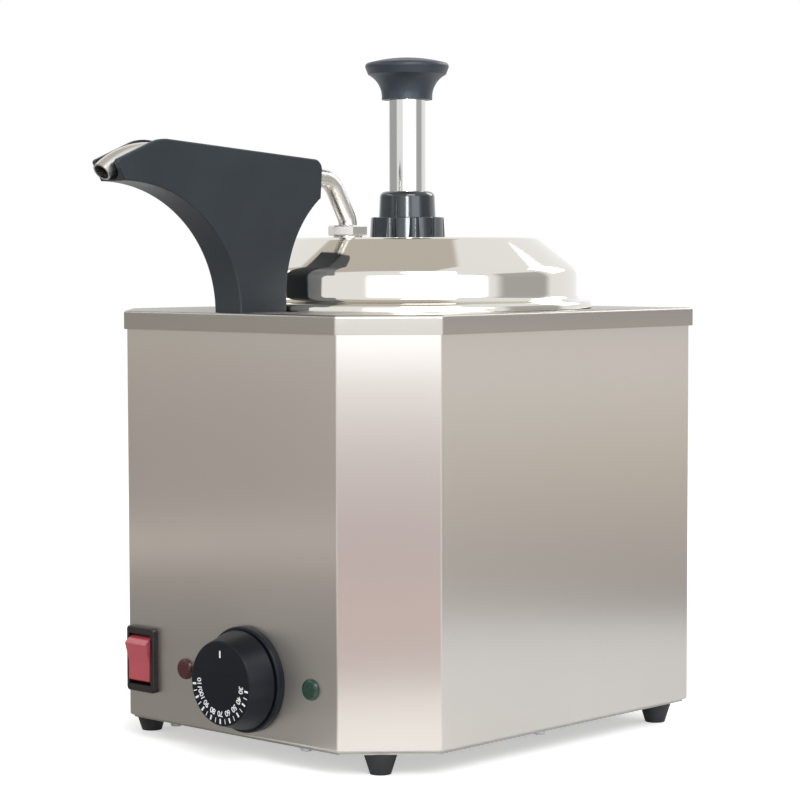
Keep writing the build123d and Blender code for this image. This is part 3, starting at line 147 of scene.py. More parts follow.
# ---------------------------------------------------------------- finishes
@dataclass(frozen=True)
class Finish:
    """A surface, named for its material and how it was made.

    The base class is a plain surface with a cloudy change in gloss, as handling leaves.
    """

    name: str
    colour: str
    roughness: float
    metallic: float = 0.0
    ior: float = 1.5
    coat: float = 0.0
    coat_roughness: float = 0.1
    gloss: float = 0.5  # the shader's specular level: 0.5 is what the IOR gives
    cloud_mm: float = 45.0  # size of the patches where handling changed the gloss
    cloud_change: float = 0.12  # how far those patches change the roughness, as a share
    cloud_detail: float = 4.0
    cloud_contrast: float = 0.2  # half the span of the noise that the patches use
    grit_mm: float = 0.6  # size of the fine relief
    grit_height_mm: float = 0.004
    grit_detail: float = 2.0
    tint: str = ""  # colour that the patches lean to

    def material(self) -> Material:
        """The finish as a material, made once and shared.

        Returns:
            The material of this finish.
        """
        known = bpy.data.materials.get(self.name)
        if known:
            return known
        made = bpy.data.materials.new(self.name)
        tree = bare_tree(made)
        shader = add_node(tree, "ShaderNodeBsdfPrincipled", {
            "Base Color": linear(self.colour), "Roughness": self.roughness,
            "Metallic": self.metallic, "Coat Weight": self.coat,
            "Coat Roughness": self.coat_roughness, "Specular IOR Level": self.gloss,
        })
        if not self.metallic:
            shader.inputs["IOR"].default_value = self.ior
        add_node(tree, "ShaderNodeOutputMaterial", {"Surface": shader.outputs["BSDF"]})
        self.pattern(tree, shader)
        return made

    def pattern(self, tree: NodeTree, shader: Node) -> None:
        """Adds the surface's own detail to its shader.

        Args:
            tree: the material's tree.
            shader: the surface shader.
        """
        place = add_node(tree, "ShaderNodeTexCoord").outputs["Object"]
        self.clouds(tree, shader, place)
        self.relief(tree, shader, place, (1.0, 1.0, 1.0), self.grit_mm)

    def clouds(self, tree: NodeTree, shader: Node, place: NodeSocket) -> None:
        """Varies gloss and colour in soft patches, where hands and cloths have been.

        Args:
            tree: the material's tree.
            shader: the surface shader.
            place: the coordinates that the patches follow.
        """
        cloud = add_node(tree, "ShaderNodeTexNoise", {
            "Vector": place, "Scale": per_metre(self.cloud_mm), "Detail": self.cloud_detail,
            "Roughness": 0.6,
        })
        spread = add_node(tree, "ShaderNodeMapRange", {
            "Value": cloud.outputs["Fac"], "From Min": 0.5 - self.cloud_contrast,
            "From Max": 0.5 + self.cloud_contrast,
            "To Min": self.roughness * (1 - self.cloud_change),
            "To Max": self.roughness * (1 + self.cloud_change),
        })
        tree.links.new(spread.outputs["Result"], shader.inputs["Roughness"])
        if self.tint:
            blend = add_node(tree, "ShaderNodeMix", {
                "Factor": cloud.outputs["Fac"], "A": linear(self.colour), "B": linear(self.tint),
            }, data_type="RGBA")
            tree.links.new(blend.outputs["Result"], shader.inputs["Base Color"])

    def relief(
        self,
        tree: NodeTree,
        shader: Node,
        place: NodeSocket,
        stretch: tuple[float, float, float],
        size_mm: float,
    ) -> None:
        """Adds fine relief: grit, grain or brushing marks.

        Args:
            tree: the material's tree.
            shader: the surface shader.
            place: the coordinates that the relief follows.
            stretch: scale along each axis; a small one draws the relief out that way.
            size_mm: width of one mark.
        """
        drawn = add_node(tree, "ShaderNodeMapping", {"Vector": place, "Scale": stretch})
        marks = add_node(tree, "ShaderNodeTexNoise", {
            "Vector": drawn.outputs["Vector"], "Scale": per_metre(size_mm),
            "Detail": self.grit_detail,
        })
        bump = add_node(tree, "ShaderNodeBump", {
            "Height": marks.outputs["Fac"], "Distance": self.grit_height_mm * MM, "Strength": 1.0,
        })
        tree.links.new(bump.outputs["Normal"], shader.inputs["Normal"])


@dataclass(frozen=True)
class BrushedSheet(Finish):
    """Stainless sheet with one-way polishing marks, which blur reflections across the grain."""

    grain_mm: float = 0.35
    grain_draw: tuple[float, float, float] = (1.0, 1.0, 0.012)  # draws the marks out upright
    anisotropy: float = 0.85

    def pattern(self, tree: NodeTree, shader: Node) -> None:
        """Adds the brushing marks and the streaks of gloss that go with them.

        Args:
            tree: the material's tree.
            shader: the surface shader.
        """
        place = add_node(tree, "ShaderNodeTexCoord").outputs["Object"]
        self.clouds(tree, shader, place)
        self.relief(tree, shader, place, self.grain_draw, self.grain_mm)
        shader.inputs["Anisotropic"].default_value = self.anisotropy
        around = add_node(tree, "ShaderNodeTangent", direction_type="RADIAL", axis="Z")
        tree.links.new(around.outputs["Tangent"], shader.inputs["Tangent"])


@dataclass(frozen=True)
class TurnedMetal(Finish):
    """Spun or turned metal, with faint rings about an upright axis."""

    ring_mm: float = 0.8
    axis_y_mm: float = 0.0

    def pattern(self, tree: NodeTree, shader: Node) -> None:
        """Adds the rings, which follow the distance from the axis and the height.

        Args:
            tree: the material's tree.
            shader: the surface shader.
        """
        place = add_node(tree, "ShaderNodeTexCoord").outputs["Object"]
        self.clouds(tree, shader, place)
        centred = add_node(tree, "ShaderNodeMapping", {
            "Vector": place, "Location": (0.0, -self.axis_y_mm * MM, 0.0),
        })
        parts = add_node(tree, "ShaderNodeSeparateXYZ", {"Vector": centred.outputs["Vector"]})
        flat = add_node(
            tree, "ShaderNodeCombineXYZ", {"X": parts.outputs["X"], "Y": parts.outputs["Y"]}
        )
        reach = add_node(
            tree, "ShaderNodeVectorMath", {0: flat.outputs["Vector"]}, operation="LENGTH"
        )
        rings = add_node(tree, "ShaderNodeCombineXYZ", {
            "X": reach.outputs["Value"], "Y": parts.outputs["Z"],
        })
        self.relief(tree, shader, rings.outputs["Vector"], (1.0, 1.0, 1.0), self.ring_mm)


@dataclass(frozen=True)
class ClearPlastic(Finish):
    """Tinted clear plastic, which lets some light through."""

    through: float = 0.4

    def pattern(self, tree: NodeTree, shader: Node) -> None:
        """Adds the light that passes and the patches of gloss.

        Args:
            tree: the material's tree.
            shader: the surface shader.
        """
        shader.inputs["Transmission Weight"].default_value = self.through
        place = add_node(tree, "ShaderNodeTexCoord").outputs["Object"]
        self.clouds(tree, shader, place)


@dataclass(frozen=True)
class MineralFibre(Finish):
    """Pressed mineral wool: matt, with short tangled fibres."""

    fibre_mm: float = 3.0
    press: tuple[float, float, float] = (1.0, 1.0, 3.0)  # the layers lie closer one on another

    def pattern(self, tree: NodeTree, shader: Node) -> None:
        """Adds the fibre relief over the patches.

        Args:
            tree: the material's tree.
            shader: the surface shader.
        """
        place = add_node(tree, "ShaderNodeTexCoord").outputs["Object"]
        self.clouds(tree, shader, place)
        self.relief(tree, shader, place, self.press, self.fibre_mm)


# 304 sheet, brushed upright: satin grey that takes on the tone of what stands before it. The
# grain is finer than the render shows, so its relief is drawn at 0.35 mm
PANEL_STEEL = BrushedSheet(
    "stainless sheet brushed", "#D0CCC8", 0.30, metallic=1.0, cloud_change=0.05, cloud_mm=70.0,
    grit_height_mm=0.003, tint="#CBC7C2",
)
# the same sheet, its base colour and patches painted a darker grey: painted shade for the deck's
# folded-down skirt, which mirrors less light
DECK_STEEL_PAINTED_SHADE = BrushedSheet(
    "stainless sheet painted shade on deck", "#ADA9A3", 0.31, metallic=1.0, cloud_change=0.05,
    cloud_mm=70.0, grit_height_mm=0.003, tint="#A8A49E",
)
# the same sheet as it left the mill, unseen under the machine
MILL_STEEL = Finish("stainless sheet mill finish", "#A9A8A5", 0.38, metallic=1.0)
# spun and mirror polished: shows its surroundings, with faint rings from the lathe
SPUN_STEEL = TurnedMetal(
    "stainless spun and polished", "#E0DDD6", 0.055, metallic=1.0, cloud_change=0.35,
    grit_height_mm=0.0006, axis_y_mm=PUMP_AXIS_Y_MM,
)
# drawn tube, polished along its length
TUBE_STEEL = Finish(
    "stainless tube polished", "#DBDBD9", 0.09, metallic=1.0, cloud_mm=12.0, grit_height_mm=0.0005
)
# the bent tube and its fittings, left satin after bending
SATIN_STEEL = Finish(
    "stainless tube satin", "#D6D4D0", 0.27, metallic=1.0, cloud_mm=9.0, grit_height_mm=0.002
)
# cast and stove coated: dark slate with a soft sheen and a slight orange peel
COVER_COAT = Finish(
    "cast aluminium slate coated", "#1E262D", 0.40, ior=1.45, cloud_mm=30.0, grit_mm=1.2,
    grit_height_mm=0.010, tint="#252E36",
)
# phenolic moulding, matt from the tool
KNOB_PHENOLIC = Finish("phenolic moulded matt", "#26303A", 0.42, ior=1.5, grit_mm=0.5, tint="#2B3642")
# glass filled nylon from a polished tool: strong narrow highlights
COLLAR_NYLON = Finish(
    "nylon moulded glossy", "#1F2930", 0.13, ior=1.53, coat=0.4, grit_mm=6.0, grit_height_mm=0.01
)
# moulded rubber: dull charcoal with a fine pitted skin
FOOT_RUBBER = Finish("rubber moulded", "#1E2024", 0.62, ior=1.52, grit_mm=0.8, grit_height_mm=0.02)
# thermoset moulding, textured in the tool: near black, with a weak bluish sheen
DIAL_BLACK = Finish(
    "thermoset moulded black", "#0A1019", 0.36, ior=1.45, gloss=0.28, grit_mm=0.5, tint="#0E151F"
)
# nylon from a polished tool: warm black with a clear sheen
BEZEL_BLACK = Finish("nylon moulded black", "#1C191A", 0.28, ior=1.53, grit_mm=0.7)
# tinted clear cap over white: glossy red that glows a little at its edges
ROCKER_RED = ClearPlastic(
    "polycarbonate moulded red", "#B23A48", 0.10, ior=1.58, coat=0.6, through=0.15, tint="#C25560"
)
# pilot lenses, unlit: dark tinted domes with a small bright highlight
RED_LENS = ClearPlastic("polycarbonate lens dark red", "#54282D", 0.16, ior=1.5, through=0.3)
GREEN_LENS = ClearPlastic("polycarbonate lens dark green", "#264A3C", 0.16, ior=1.5, through=0.3)
# zinc plated steel: bluish silver, slightly uneven
SCREW_ZINC = Finish("steel screw zinc plated", "#B9BCC0", 0.30, metallic=1.0, cloud_mm=4.0)
# milled aluminium: pale and even, with soft highlights
CAST_BLOCK = Finish("aluminium machined", "#C9CACC", 0.34, metallic=1.0, cloud_mm=15.0)
# heater sheath after some heats: brown grey, mottled
HEATER_SHEATH = Finish(
    "incoloy sheath heat tinted", "#7C7268", 0.42, metallic=1.0, cloud_mm=10.0, tint="#8E7B6C"
)
# pressed wool slab: straw yellow, matt, with tangled fibres
WOOL = MineralFibre(
    "mineral wool pressed", "#CFC29A", 0.95, ior=1.4, grit_height_mm=0.4, tint="#C0B288"
)
# machined acetal: ivory white with a waxy sheen
ACETAL = Finish("acetal machined natural", "#E4E3DD", 0.36, ior=1.48)
# moulded silicone: brick red and dull, as food seals are
SILICONE = Finish("silicone ring moulded", "#A23A2C", 0.5, ior=1.41)
# nitrile cut from sheet: flat black
NITRILE = Finish("nitrile sheet cut", "#1B1B1D", 0.6, ior=1.52)
# undyed nylon: cream, half matt
TERMINAL_NYLON = Finish("nylon moulded natural", "#DDD9C9", 0.45, ior=1.53)
# turned brass: warm yellow with soft highlights
BRASS = Finish("brass turned", "#C6A15A", 0.28, metallic=1.0, cloud_mm=6.0)
# pad printed ink: cool white, matt, with a slightly rough edge
PRINT_WHITE = Finish("pad printed ink white", "#E9EAEC", 0.5, ior=1.5, grit_mm=0.3)


# ---------------------------------------------------------------- modelling helpers
WELD = 1e-6  # metres within which two points are one
BEND_STEP = 5.0  # degrees of a bend in one step
BEND_LEAST = 5  # fewest steps of a bend
SHORT_RUN_MM = 0.1  # a straight run shorter than this is left out
DRILL_SIDES = 64


class Growth(Enum):
    """The side of a skin on which its wall is built up."""

    OUTWARD = 1.0
    INWARD = -1.0


def deselect() -> None:
    """Clears the selection, so that an operator acts on nothing by accident."""
    if bpy.context.object and bpy.context.object.mode != "OBJECT":
        bpy.ops.object.mode_set(mode="OBJECT")
    bpy.ops.object.select_all(action="DESELECT")


def pick(piece: Object) -> None:
    """Makes a piece the only one selected, and the active one.

    Args:
        piece: the object that the next operators act on.
    """
    deselect()
    piece.select_set(True)
    bpy.context.view_layer.objects.active = piece


def settle(piece: Object, name: str, finish: Finish) -> Object:
    """Puts a finished piece's place into its mesh, names it and gives it its finish.

    Args:
        piece: the object as modelled.
        name: the piece's name.
        finish: its surface.

    Returns:
        The same object, at the origin.
    """
    pick(piece)
    bpy.ops.object.transform_apply(location=True, rotation=True, scale=True)
    piece.name = name
    piece.data.name = name
    piece.data.materials.clear()
    piece.data.materials.append(finish.material())
    deselect()
    return piece


def join(pieces: list[Object]) -> Object:
    """Joins several objects into one.

    Args:
        pieces: the objects; the others join the first.

    Returns:
        The joined object.
    """
    pick(pieces[0])
    for piece in pieces:
        piece.select_set(True)
    bpy.ops.object.join()
    return bpy.context.object


def rounded(corners: Corners, steps: int = 6) -> list[tuple[float, float]]:
    """Rounds the corners of a flat line.

    Args:
        corners: each corner's two coordinates and its rounding radius, in millimetres.
        steps: pieces in each rounding.

    Returns:
        The line's points.
    """
    line = []
    for index, (across, up, bend) in enumerate(corners):
        here = Vector((across, up))
        if not bend or index in (0, len(corners) - 1):
            line.append((across, up))
            continue
        back = (Vector(corners[index - 1][:2]) - here).normalized()
        ahead = (Vector(corners[index + 1][:2]) - here).normalized()
        half = math.acos(max(-1.0, min(1.0, back.dot(ahead)))) / 2
        centre = here + (back + ahead).normalized() * bend / math.sin(half)
        first = here + back * bend / math.tan(half) - centre
        last = here + ahead * bend / math.tan(half) - centre
        start = math.atan2(first.y, first.x)
        sweep = math.remainder(math.atan2(last.y, last.x) - start, math.tau)
        for step in range(steps + 1):
            angle = start + sweep * step / steps
            line.append((centre.x + bend * math.cos(angle), centre.y + bend * math.sin(angle)))
    return line


def turned(line: list[tuple[float, float]], sides: int = 128) -> Object:
    """A shape turned about the Z axis, drawn ring by ring.

    Args:
        line: radius and height of each ring, in millimetres. A line that starts on the axis
            starts with a flat disc, and one that ends where it starts is closed.
        sides: corners of each ring.

    Returns:
        The shape as one mesh.
    """
    deselect()
    disc = line[0][0] == 0
    rings = line[1:] if disc else line
    radius, height = rings[0]
    bpy.ops.mesh.primitive_circle_add(
        vertices=sides, radius=radius * MM, location=(0, 0, height * MM),
        fill_type="TRIFAN" if disc else "NOTHING",
    )
    piece = bpy.context.object
    bpy.ops.object.transform_apply(location=True)
    bpy.ops.object.mode_set(mode="EDIT")
    bpy.ops.mesh.select_all(action="SELECT")
    if disc:
        bpy.ops.mesh.region_to_loop()
    for next_radius, next_height in rings[1:]:
        bpy.ops.mesh.extrude_region_move(
            TRANSFORM_OT_translate={"value": (0, 0, (next_height - height) * MM)}
        )
        scale = next_radius / radius
        bpy.ops.transform.resize(value=(scale, scale, 1), center_override=(0, 0, next_height * MM))
        radius, height = next_radius, next_height
    merge_skin()
    return piece


def merge_skin() -> None:
    """Closes seams and poles of the mesh in edit mode, and turns its faces outward."""
    bpy.ops.mesh.select_all(action="SELECT")
    bpy.ops.mesh.remove_doubles(threshold=WELD)
    bpy.ops.mesh.normals_make_consistent(inside=False)
    bpy.ops.object.mode_set(mode="OBJECT")


def bent_tube(route: Corners, radius: float, wall: float, sides: int = 48) -> Object:
    """A round tube in the plane x = 0: its straight runs are extruded and its bends spun.

    Args:
        route: the corners of its middle line as y, z and bend radius, in millimetres.
        radius: the tube's outer radius.
        wall: the thickness of its wall.
        sides: corners of the tube's section.

    Returns:
        The tube as one mesh.
    """
    corners = [Vector((0.0, y, z)) for y, z, _ in route]
    heading = (corners[1] - corners[0]).normalized()
    deselect()
    bpy.ops.mesh.primitive_circle_add(
        vertices=sides, radius=radius * MM, location=corners[0] * MM,
        rotation=heading.to_track_quat("Z", "X").to_euler(),
    )
    tube = bpy.context.object
    bpy.ops.object.transform_apply(location=True, rotation=True)
    bpy.ops.object.mode_set(mode="EDIT")
    bpy.ops.mesh.select_all(action="SELECT")
    here = corners[0]
    for index in range(1, len(corners) - 1):
        corner, bend = corners[index], route[index][2]
        come = (corner - corners[index - 1]).normalized()
        leave = (corners[index + 1] - corner).normalized()
        turn = come.angle(leave)
        reach = bend * math.tan(turn / 2)
        run = corner - come * reach - here
        bpy.ops.mesh.extrude_region_move(TRANSFORM_OT_translate={"value": run * MM})
        centre = corner + (leave - come).normalized() * bend / math.cos(turn / 2)
        bpy.ops.mesh.spin(
            steps=max(BEND_LEAST, math.ceil(math.degrees(turn) / BEND_STEP)), angle=-turn,
            center=centre * MM, axis=come.cross(leave).normalized(),
        )
        here = corner + leave * reach
    if (corners[-1] - here).length > SHORT_RUN_MM:
        bpy.ops.mesh.extrude_region_move(
            TRANSFORM_OT_translate={"value": (corners[-1] - here) * MM}
        )
    merge_skin()
    thicken(tube, wall, Growth.INWARD)
    return tube


def thicken(piece: Object, wall: float, side: Growth) -> None:
    """Gives a skin its wall.

    Args:
        piece: the skin, its faces outward.
        wall: the thickness in millimetres.
        side: where the wall grows from the skin.
    """
    pick(piece)
    solid = piece.modifiers.new("wall", "SOLIDIFY")
    solid.thickness = wall * MM
    solid.offset = side.value
    solid.use_even_offset = True
    bpy.ops.object.modifier_apply(modifier=solid.name)


def drill(piece: Object, place: Vector, radius: float, depth: float) -> None:
    """Drills an upright hole through a piece.

    Args:
        piece: the piece.
        place: the middle of the hole's lower end, in millimetres.
        radius: the hole's radius.
        depth: how far the hole reaches up from there.
    """
    tool = turned([(0, 0), (radius, 0), (radius, depth), (0, depth)], DRILL_SIDES)
    tool.location = place * MM
    cut = piece.modifiers.new("hole", "BOOLEAN")
    cut.object = tool
    cut.operation = "DIFFERENCE"
    cut.solver = "EXACT"
    pick(piece)
    bpy.ops.object.modifier_apply(modifier=cut.name)
    pick(tool)
    bpy.ops.object.delete()


def smooth(piece: Object, degrees: float = 32.0) -> None:
    """Shades a piece round, and keeps its sharp edges.

    Args:
        piece: the piece.
        degrees: the angle past which an edge stays sharp.
    """
    pick(piece)
    bpy.ops.object.shade_smooth_by_angle(angle=math.radians(degrees))
    deselect()


# ---------------------------------------------------------------- sub-assemblies
@dataclass
class SubAssembly:
    """A group of the machine's pieces that is made and dressed together."""

    title: ClassVar[str] = ""  # what the log calls the group
    finishes: ClassVar[dict[str, Finish]] = {}  # the finish of each of its nodes

    def build(self) -> list[Object]:
        """Models the group's own new pieces; a group whose solids are right has none."""
        return []

    def dress(self) -> None:
        """Gives every node of the group its finish and reports it."""
        for node, finish in self.finishes.items():
            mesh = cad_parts[node].data
            mesh.materials.clear()
            mesh.materials.append(finish.material())
            log.info("%s: %s in %s", self.title, node, finish.name)

    def stand_in(self, piece: Object, node: str, body: str) -> Object:
        """Puts a new piece in a node's place and reports it.

        Args:
            piece: the finished piece.
            node: the node that it stands for.
            body: the body that it rides on.

        Returns:
            The piece.
        """
        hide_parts(node)
        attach(piece, body)
        log.info("%s: %s in place of %s", self.title, piece.name, node)
        return piece


@dataclass
class Housing(SubAssembly):
    """The box: wrapper, deck, base plate and feet."""

    title: ClassVar[str] = "housing"
    finishes: ClassVar[dict[str, Finish]] = {
        # the deck's sheet is the panels' steel painted a darker grey: painted shade
        "housing_shell": PANEL_STEEL, "deck_panel": DECK_STEEL_PAINTED_SHADE, "base_plate": MILL_STEEL,
        "feet": FOOT_RUBBER, "foot_screws": SCREW_ZINC, "foot_nuts": SCREW_ZINC,
        "base_screws": SCREW_ZINC,
    }


@dataclass
class Well(SubAssembly):
    """The well with its loose pot, its insulation and its heater."""

    title: ClassVar[str] = "well and heater"
    finishes: ClassVar[dict[str, Finish]] = {
        "well_tank": MILL_STEEL, "food_pot": SPUN_STEEL, "insulation_sleeve": WOOL,
        "heating_element": HEATER_SHEATH, "heater_plate": CAST_BLOCK, "heater_clamp": MILL_STEEL,
        "clamp_nut": SCREW_ZINC, "thermal_cutout": DIAL_BLACK, "sensor_bulb": TUBE_STEEL,
        "bulb_clip": MILL_STEEL,
    }


@dataclass
class MainsEntry(SubAssembly):
    """The gland at the back and the terminals behind it."""

    title: ClassVar[str] = "mains entry"
    finishes: ClassVar[dict[str, Finish]] = {
        "cable_gland": BEZEL_BLACK, "gland_cap": BEZEL_BLACK, "gland_locknut": BEZEL_BLACK,
        "terminal_block": TERMINAL_NYLON, "earth_stud": BRASS,
    }


@dataclass
class Controls(SubAssembly):
    """The switch, the pilot lamps and the thermostat, whose knob carries a printed scale."""

    title: ClassVar[str] = "controls"
    finishes: ClassVar[dict[str, Finish]] = {
        "thermostat_body": DIAL_BLACK, "knob_bezel": DIAL_BLACK, "thermostat_screws": SCREW_ZINC,
        "thermostat_knob": DIAL_BLACK, "thermostat_shaft": SCREW_ZINC,
        "switch_housing": BEZEL_BLACK, "switch_tabs": BRASS, "switch_rocker": ROCKER_RED,
        "red_lamp_lens": RED_LENS, "green_lamp_lens": GREEN_LENS, "lamp_holders": TERMINAL_NYLON,
    }

    face_y: float = -97.11  # the knob's face
    back_y: float = -84.11
    face_radius: float = 19.8
    face_round: float = 1.0
    back_radius: float = 23.6
    back_round: float = 0.6
    wall: float = 1.5
    wall_round: float = 0.8
    hub_radius: float = 6.0
    shaft_radius: float = 3.0
    shaft_tip_y: float = -93.61
    lowest: int = 30  # the scale's first and last figure
    highest: int = 110
    tick_step: int = 5
    first_angle: float = -6.0  # where the lowest figure stands, counter-clockwise from +X
    last_angle: float = -174.0
    tick_inner: float = 16.5
    tick_outer: float = 18.9
    ten_width: float = 0.95  # the ticks at the figures, and the index line
    five_width: float = 0.42
    end_round: float = 0.2  # rounding of a bar's edges, as a share of its width
    index_inner: float = 12.0
    index_outer: float = 15.3
    index_angle: float = 90.0
    figure_radius: float = 14.0
    figure_height: float = 2.75
    type_size: float = 1.38  # size of the type whose digits are 1 high
    type_weight: float = 0.06  # added all round each digit
    type_spacing: float = 0.93
    ink: float = 0.06  # thickness of the print

    def centre(self) -> Vector:
        """The middle of the dial's face, in millimetres."""
        low, high = (Vector(corner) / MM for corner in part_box("thermostat_knob"))
        return Vector(((low.x + high.x) / 2, self.face_y, (low.z + high.z) / 2))

    def knob(self) -> Object:
        """The hollow knob: a flat face, a flared skirt and a hub on the shaft.

        Returns:
            The knob, on the thermostat's axis.
        """
        depth = self.back_y - self.face_y
        tip = self.shaft_tip_y - self.face_y
        side = rounded([
            (0, 0, 0.0), (self.face_radius, 0, self.face_round),
            (self.back_radius, -depth, self.back_round),
            (self.back_radius - self.wall, -depth, 0.0),
            (self.face_radius - self.wall, -self.wall, self.wall_round),
            (self.hub_radius, -self.wall, 0.0), (self.hub_radius, -depth, 0.0),
            (self.shaft_radius, -depth, 0.0), (self.shaft_radius, -tip, 0.0), (0, -tip, 0.0),
        ])
        knob = turned(side)
        knob.rotation_euler = (math.pi / 2, 0, 0)
        knob.location = self.centre() * MM
        smooth(knob, 35.0)
        settle(knob, "dial_knob", DIAL_BLACK)
        return self.stand_in(knob, "thermostat_knob", "thermostat_dial")

    def bar(self, inner: float, outer: float, width: float) -> Object:
        """A printed bar that points to +X from the dial's middle, with softened edges.

        Args:
            inner: the radius where it starts.
            outer: the radius where it ends.
            width: its width.

        Returns:
            The bar.
        """
        place = self.centre() + Vector(((inner + outer) / 2, -self.ink / 2, 0))
        deselect()
        bpy.ops.mesh.primitive_cube_add(size=1, location=place * MM)
        bar = bpy.context.object
        bar.scale = Vector((outer - inner, self.ink, width)) * MM
        bpy.ops.object.transform_apply(location=False, rotation=False, scale=True)
        ends = bar.modifiers.new("soft ends", "BEVEL")
        ends.width = width * self.end_round * MM
        ends.segments = 2
        bpy.ops.object.modifier_apply(modifier=ends.name)
        return bar

    def around(self, mark: Object, angle: float) -> Object:
        """A copy of a mark, turned about the dial's axis.

        Args:
            mark: the mark, which points to +X.
            angle: the copy's direction in degrees, counter-clockwise from +X.

        Returns:
            The copy, with its own mesh.
        """
        copy = mark.copy()
        copy.data = mark.data.copy()
        bpy.context.collection.objects.link(copy)
        middle = Matrix.Translation(self.centre() * MM)
        turn = Matrix.Rotation(-math.radians(angle), 4, "Y")
        copy.matrix_world = middle @ turn @ middle.inverted() @ mark.matrix_basis
        return copy

    def figure(self, text: str, angle: float) -> Object:
        """One printed figure, its top towards the dial's edge.

        Args:
            text: the figure's digits.
            angle: its direction in degrees, counter-clockwise from +X.

        Returns:
            The figure as a mesh object.
        """
        turn = math.radians(angle)
        place = self.centre() + Vector(
            (self.figure_radius * math.cos(turn), -self.ink, self.figure_radius * math.sin(turn))
        )
        deselect()
        bpy.ops.object.text_add(location=place * MM, rotation=(math.pi / 2, math.pi / 2 - turn, 0))
        letters = bpy.context.object
        letters.data.body = text
        letters.data.align_x = "CENTER"
        letters.data.align_y = "CENTER"
        letters.data.size = self.figure_height * self.type_size * MM
        letters.data.extrude = self.ink / 2 * MM
        letters.data.offset = self.type_weight * MM
        letters.data.space_character = self.type_spacing
        pick(letters)
        bpy.ops.object.convert(target="MESH")
        return bpy.context.object

    def build(self) -> list[Object]:
        """Makes the knob, and prints the scale, the figures and the index line on it.

        Returns:
            The knob and the printed pieces.
        """
        knob = self.knob()
        steps = (self.highest - self.lowest) // self.tick_step
        angles = [
            self.first_angle + step * (self.last_angle - self.first_angle) / steps
            for step in range(steps + 1)
        ]
        ten = self.bar(self.tick_inner, self.tick_outer, self.ten_width)
        five = self.bar(self.tick_inner, self.tick_outer, self.five_width)
        index = self.bar(self.index_inner, self.index_outer, self.ten_width)
        marks = [self.around(ten, angle) for angle in angles[::2]]
        marks += [self.around(five, angle) for angle in angles[1::2]]
        marks.append(self.around(index, self.index_angle))
        for model in (ten, five, index):
            bpy.data.objects.remove(model)
        figures = [
            self.figure(str(self.lowest + self.tick_step * step), angles[step])
            for step in range(0, steps + 1, 2)
        ]
        scale = settle(join(marks), "dial_scale", PRINT_WHITE)
        numbers = settle(join(figures), "dial_figures", PRINT_WHITE)
        for piece in (scale, numbers):
            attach(piece, "thermostat_dial")
            log.info("%s: %s printed", self.title, piece.name)
        return [knob, scale, numbers]


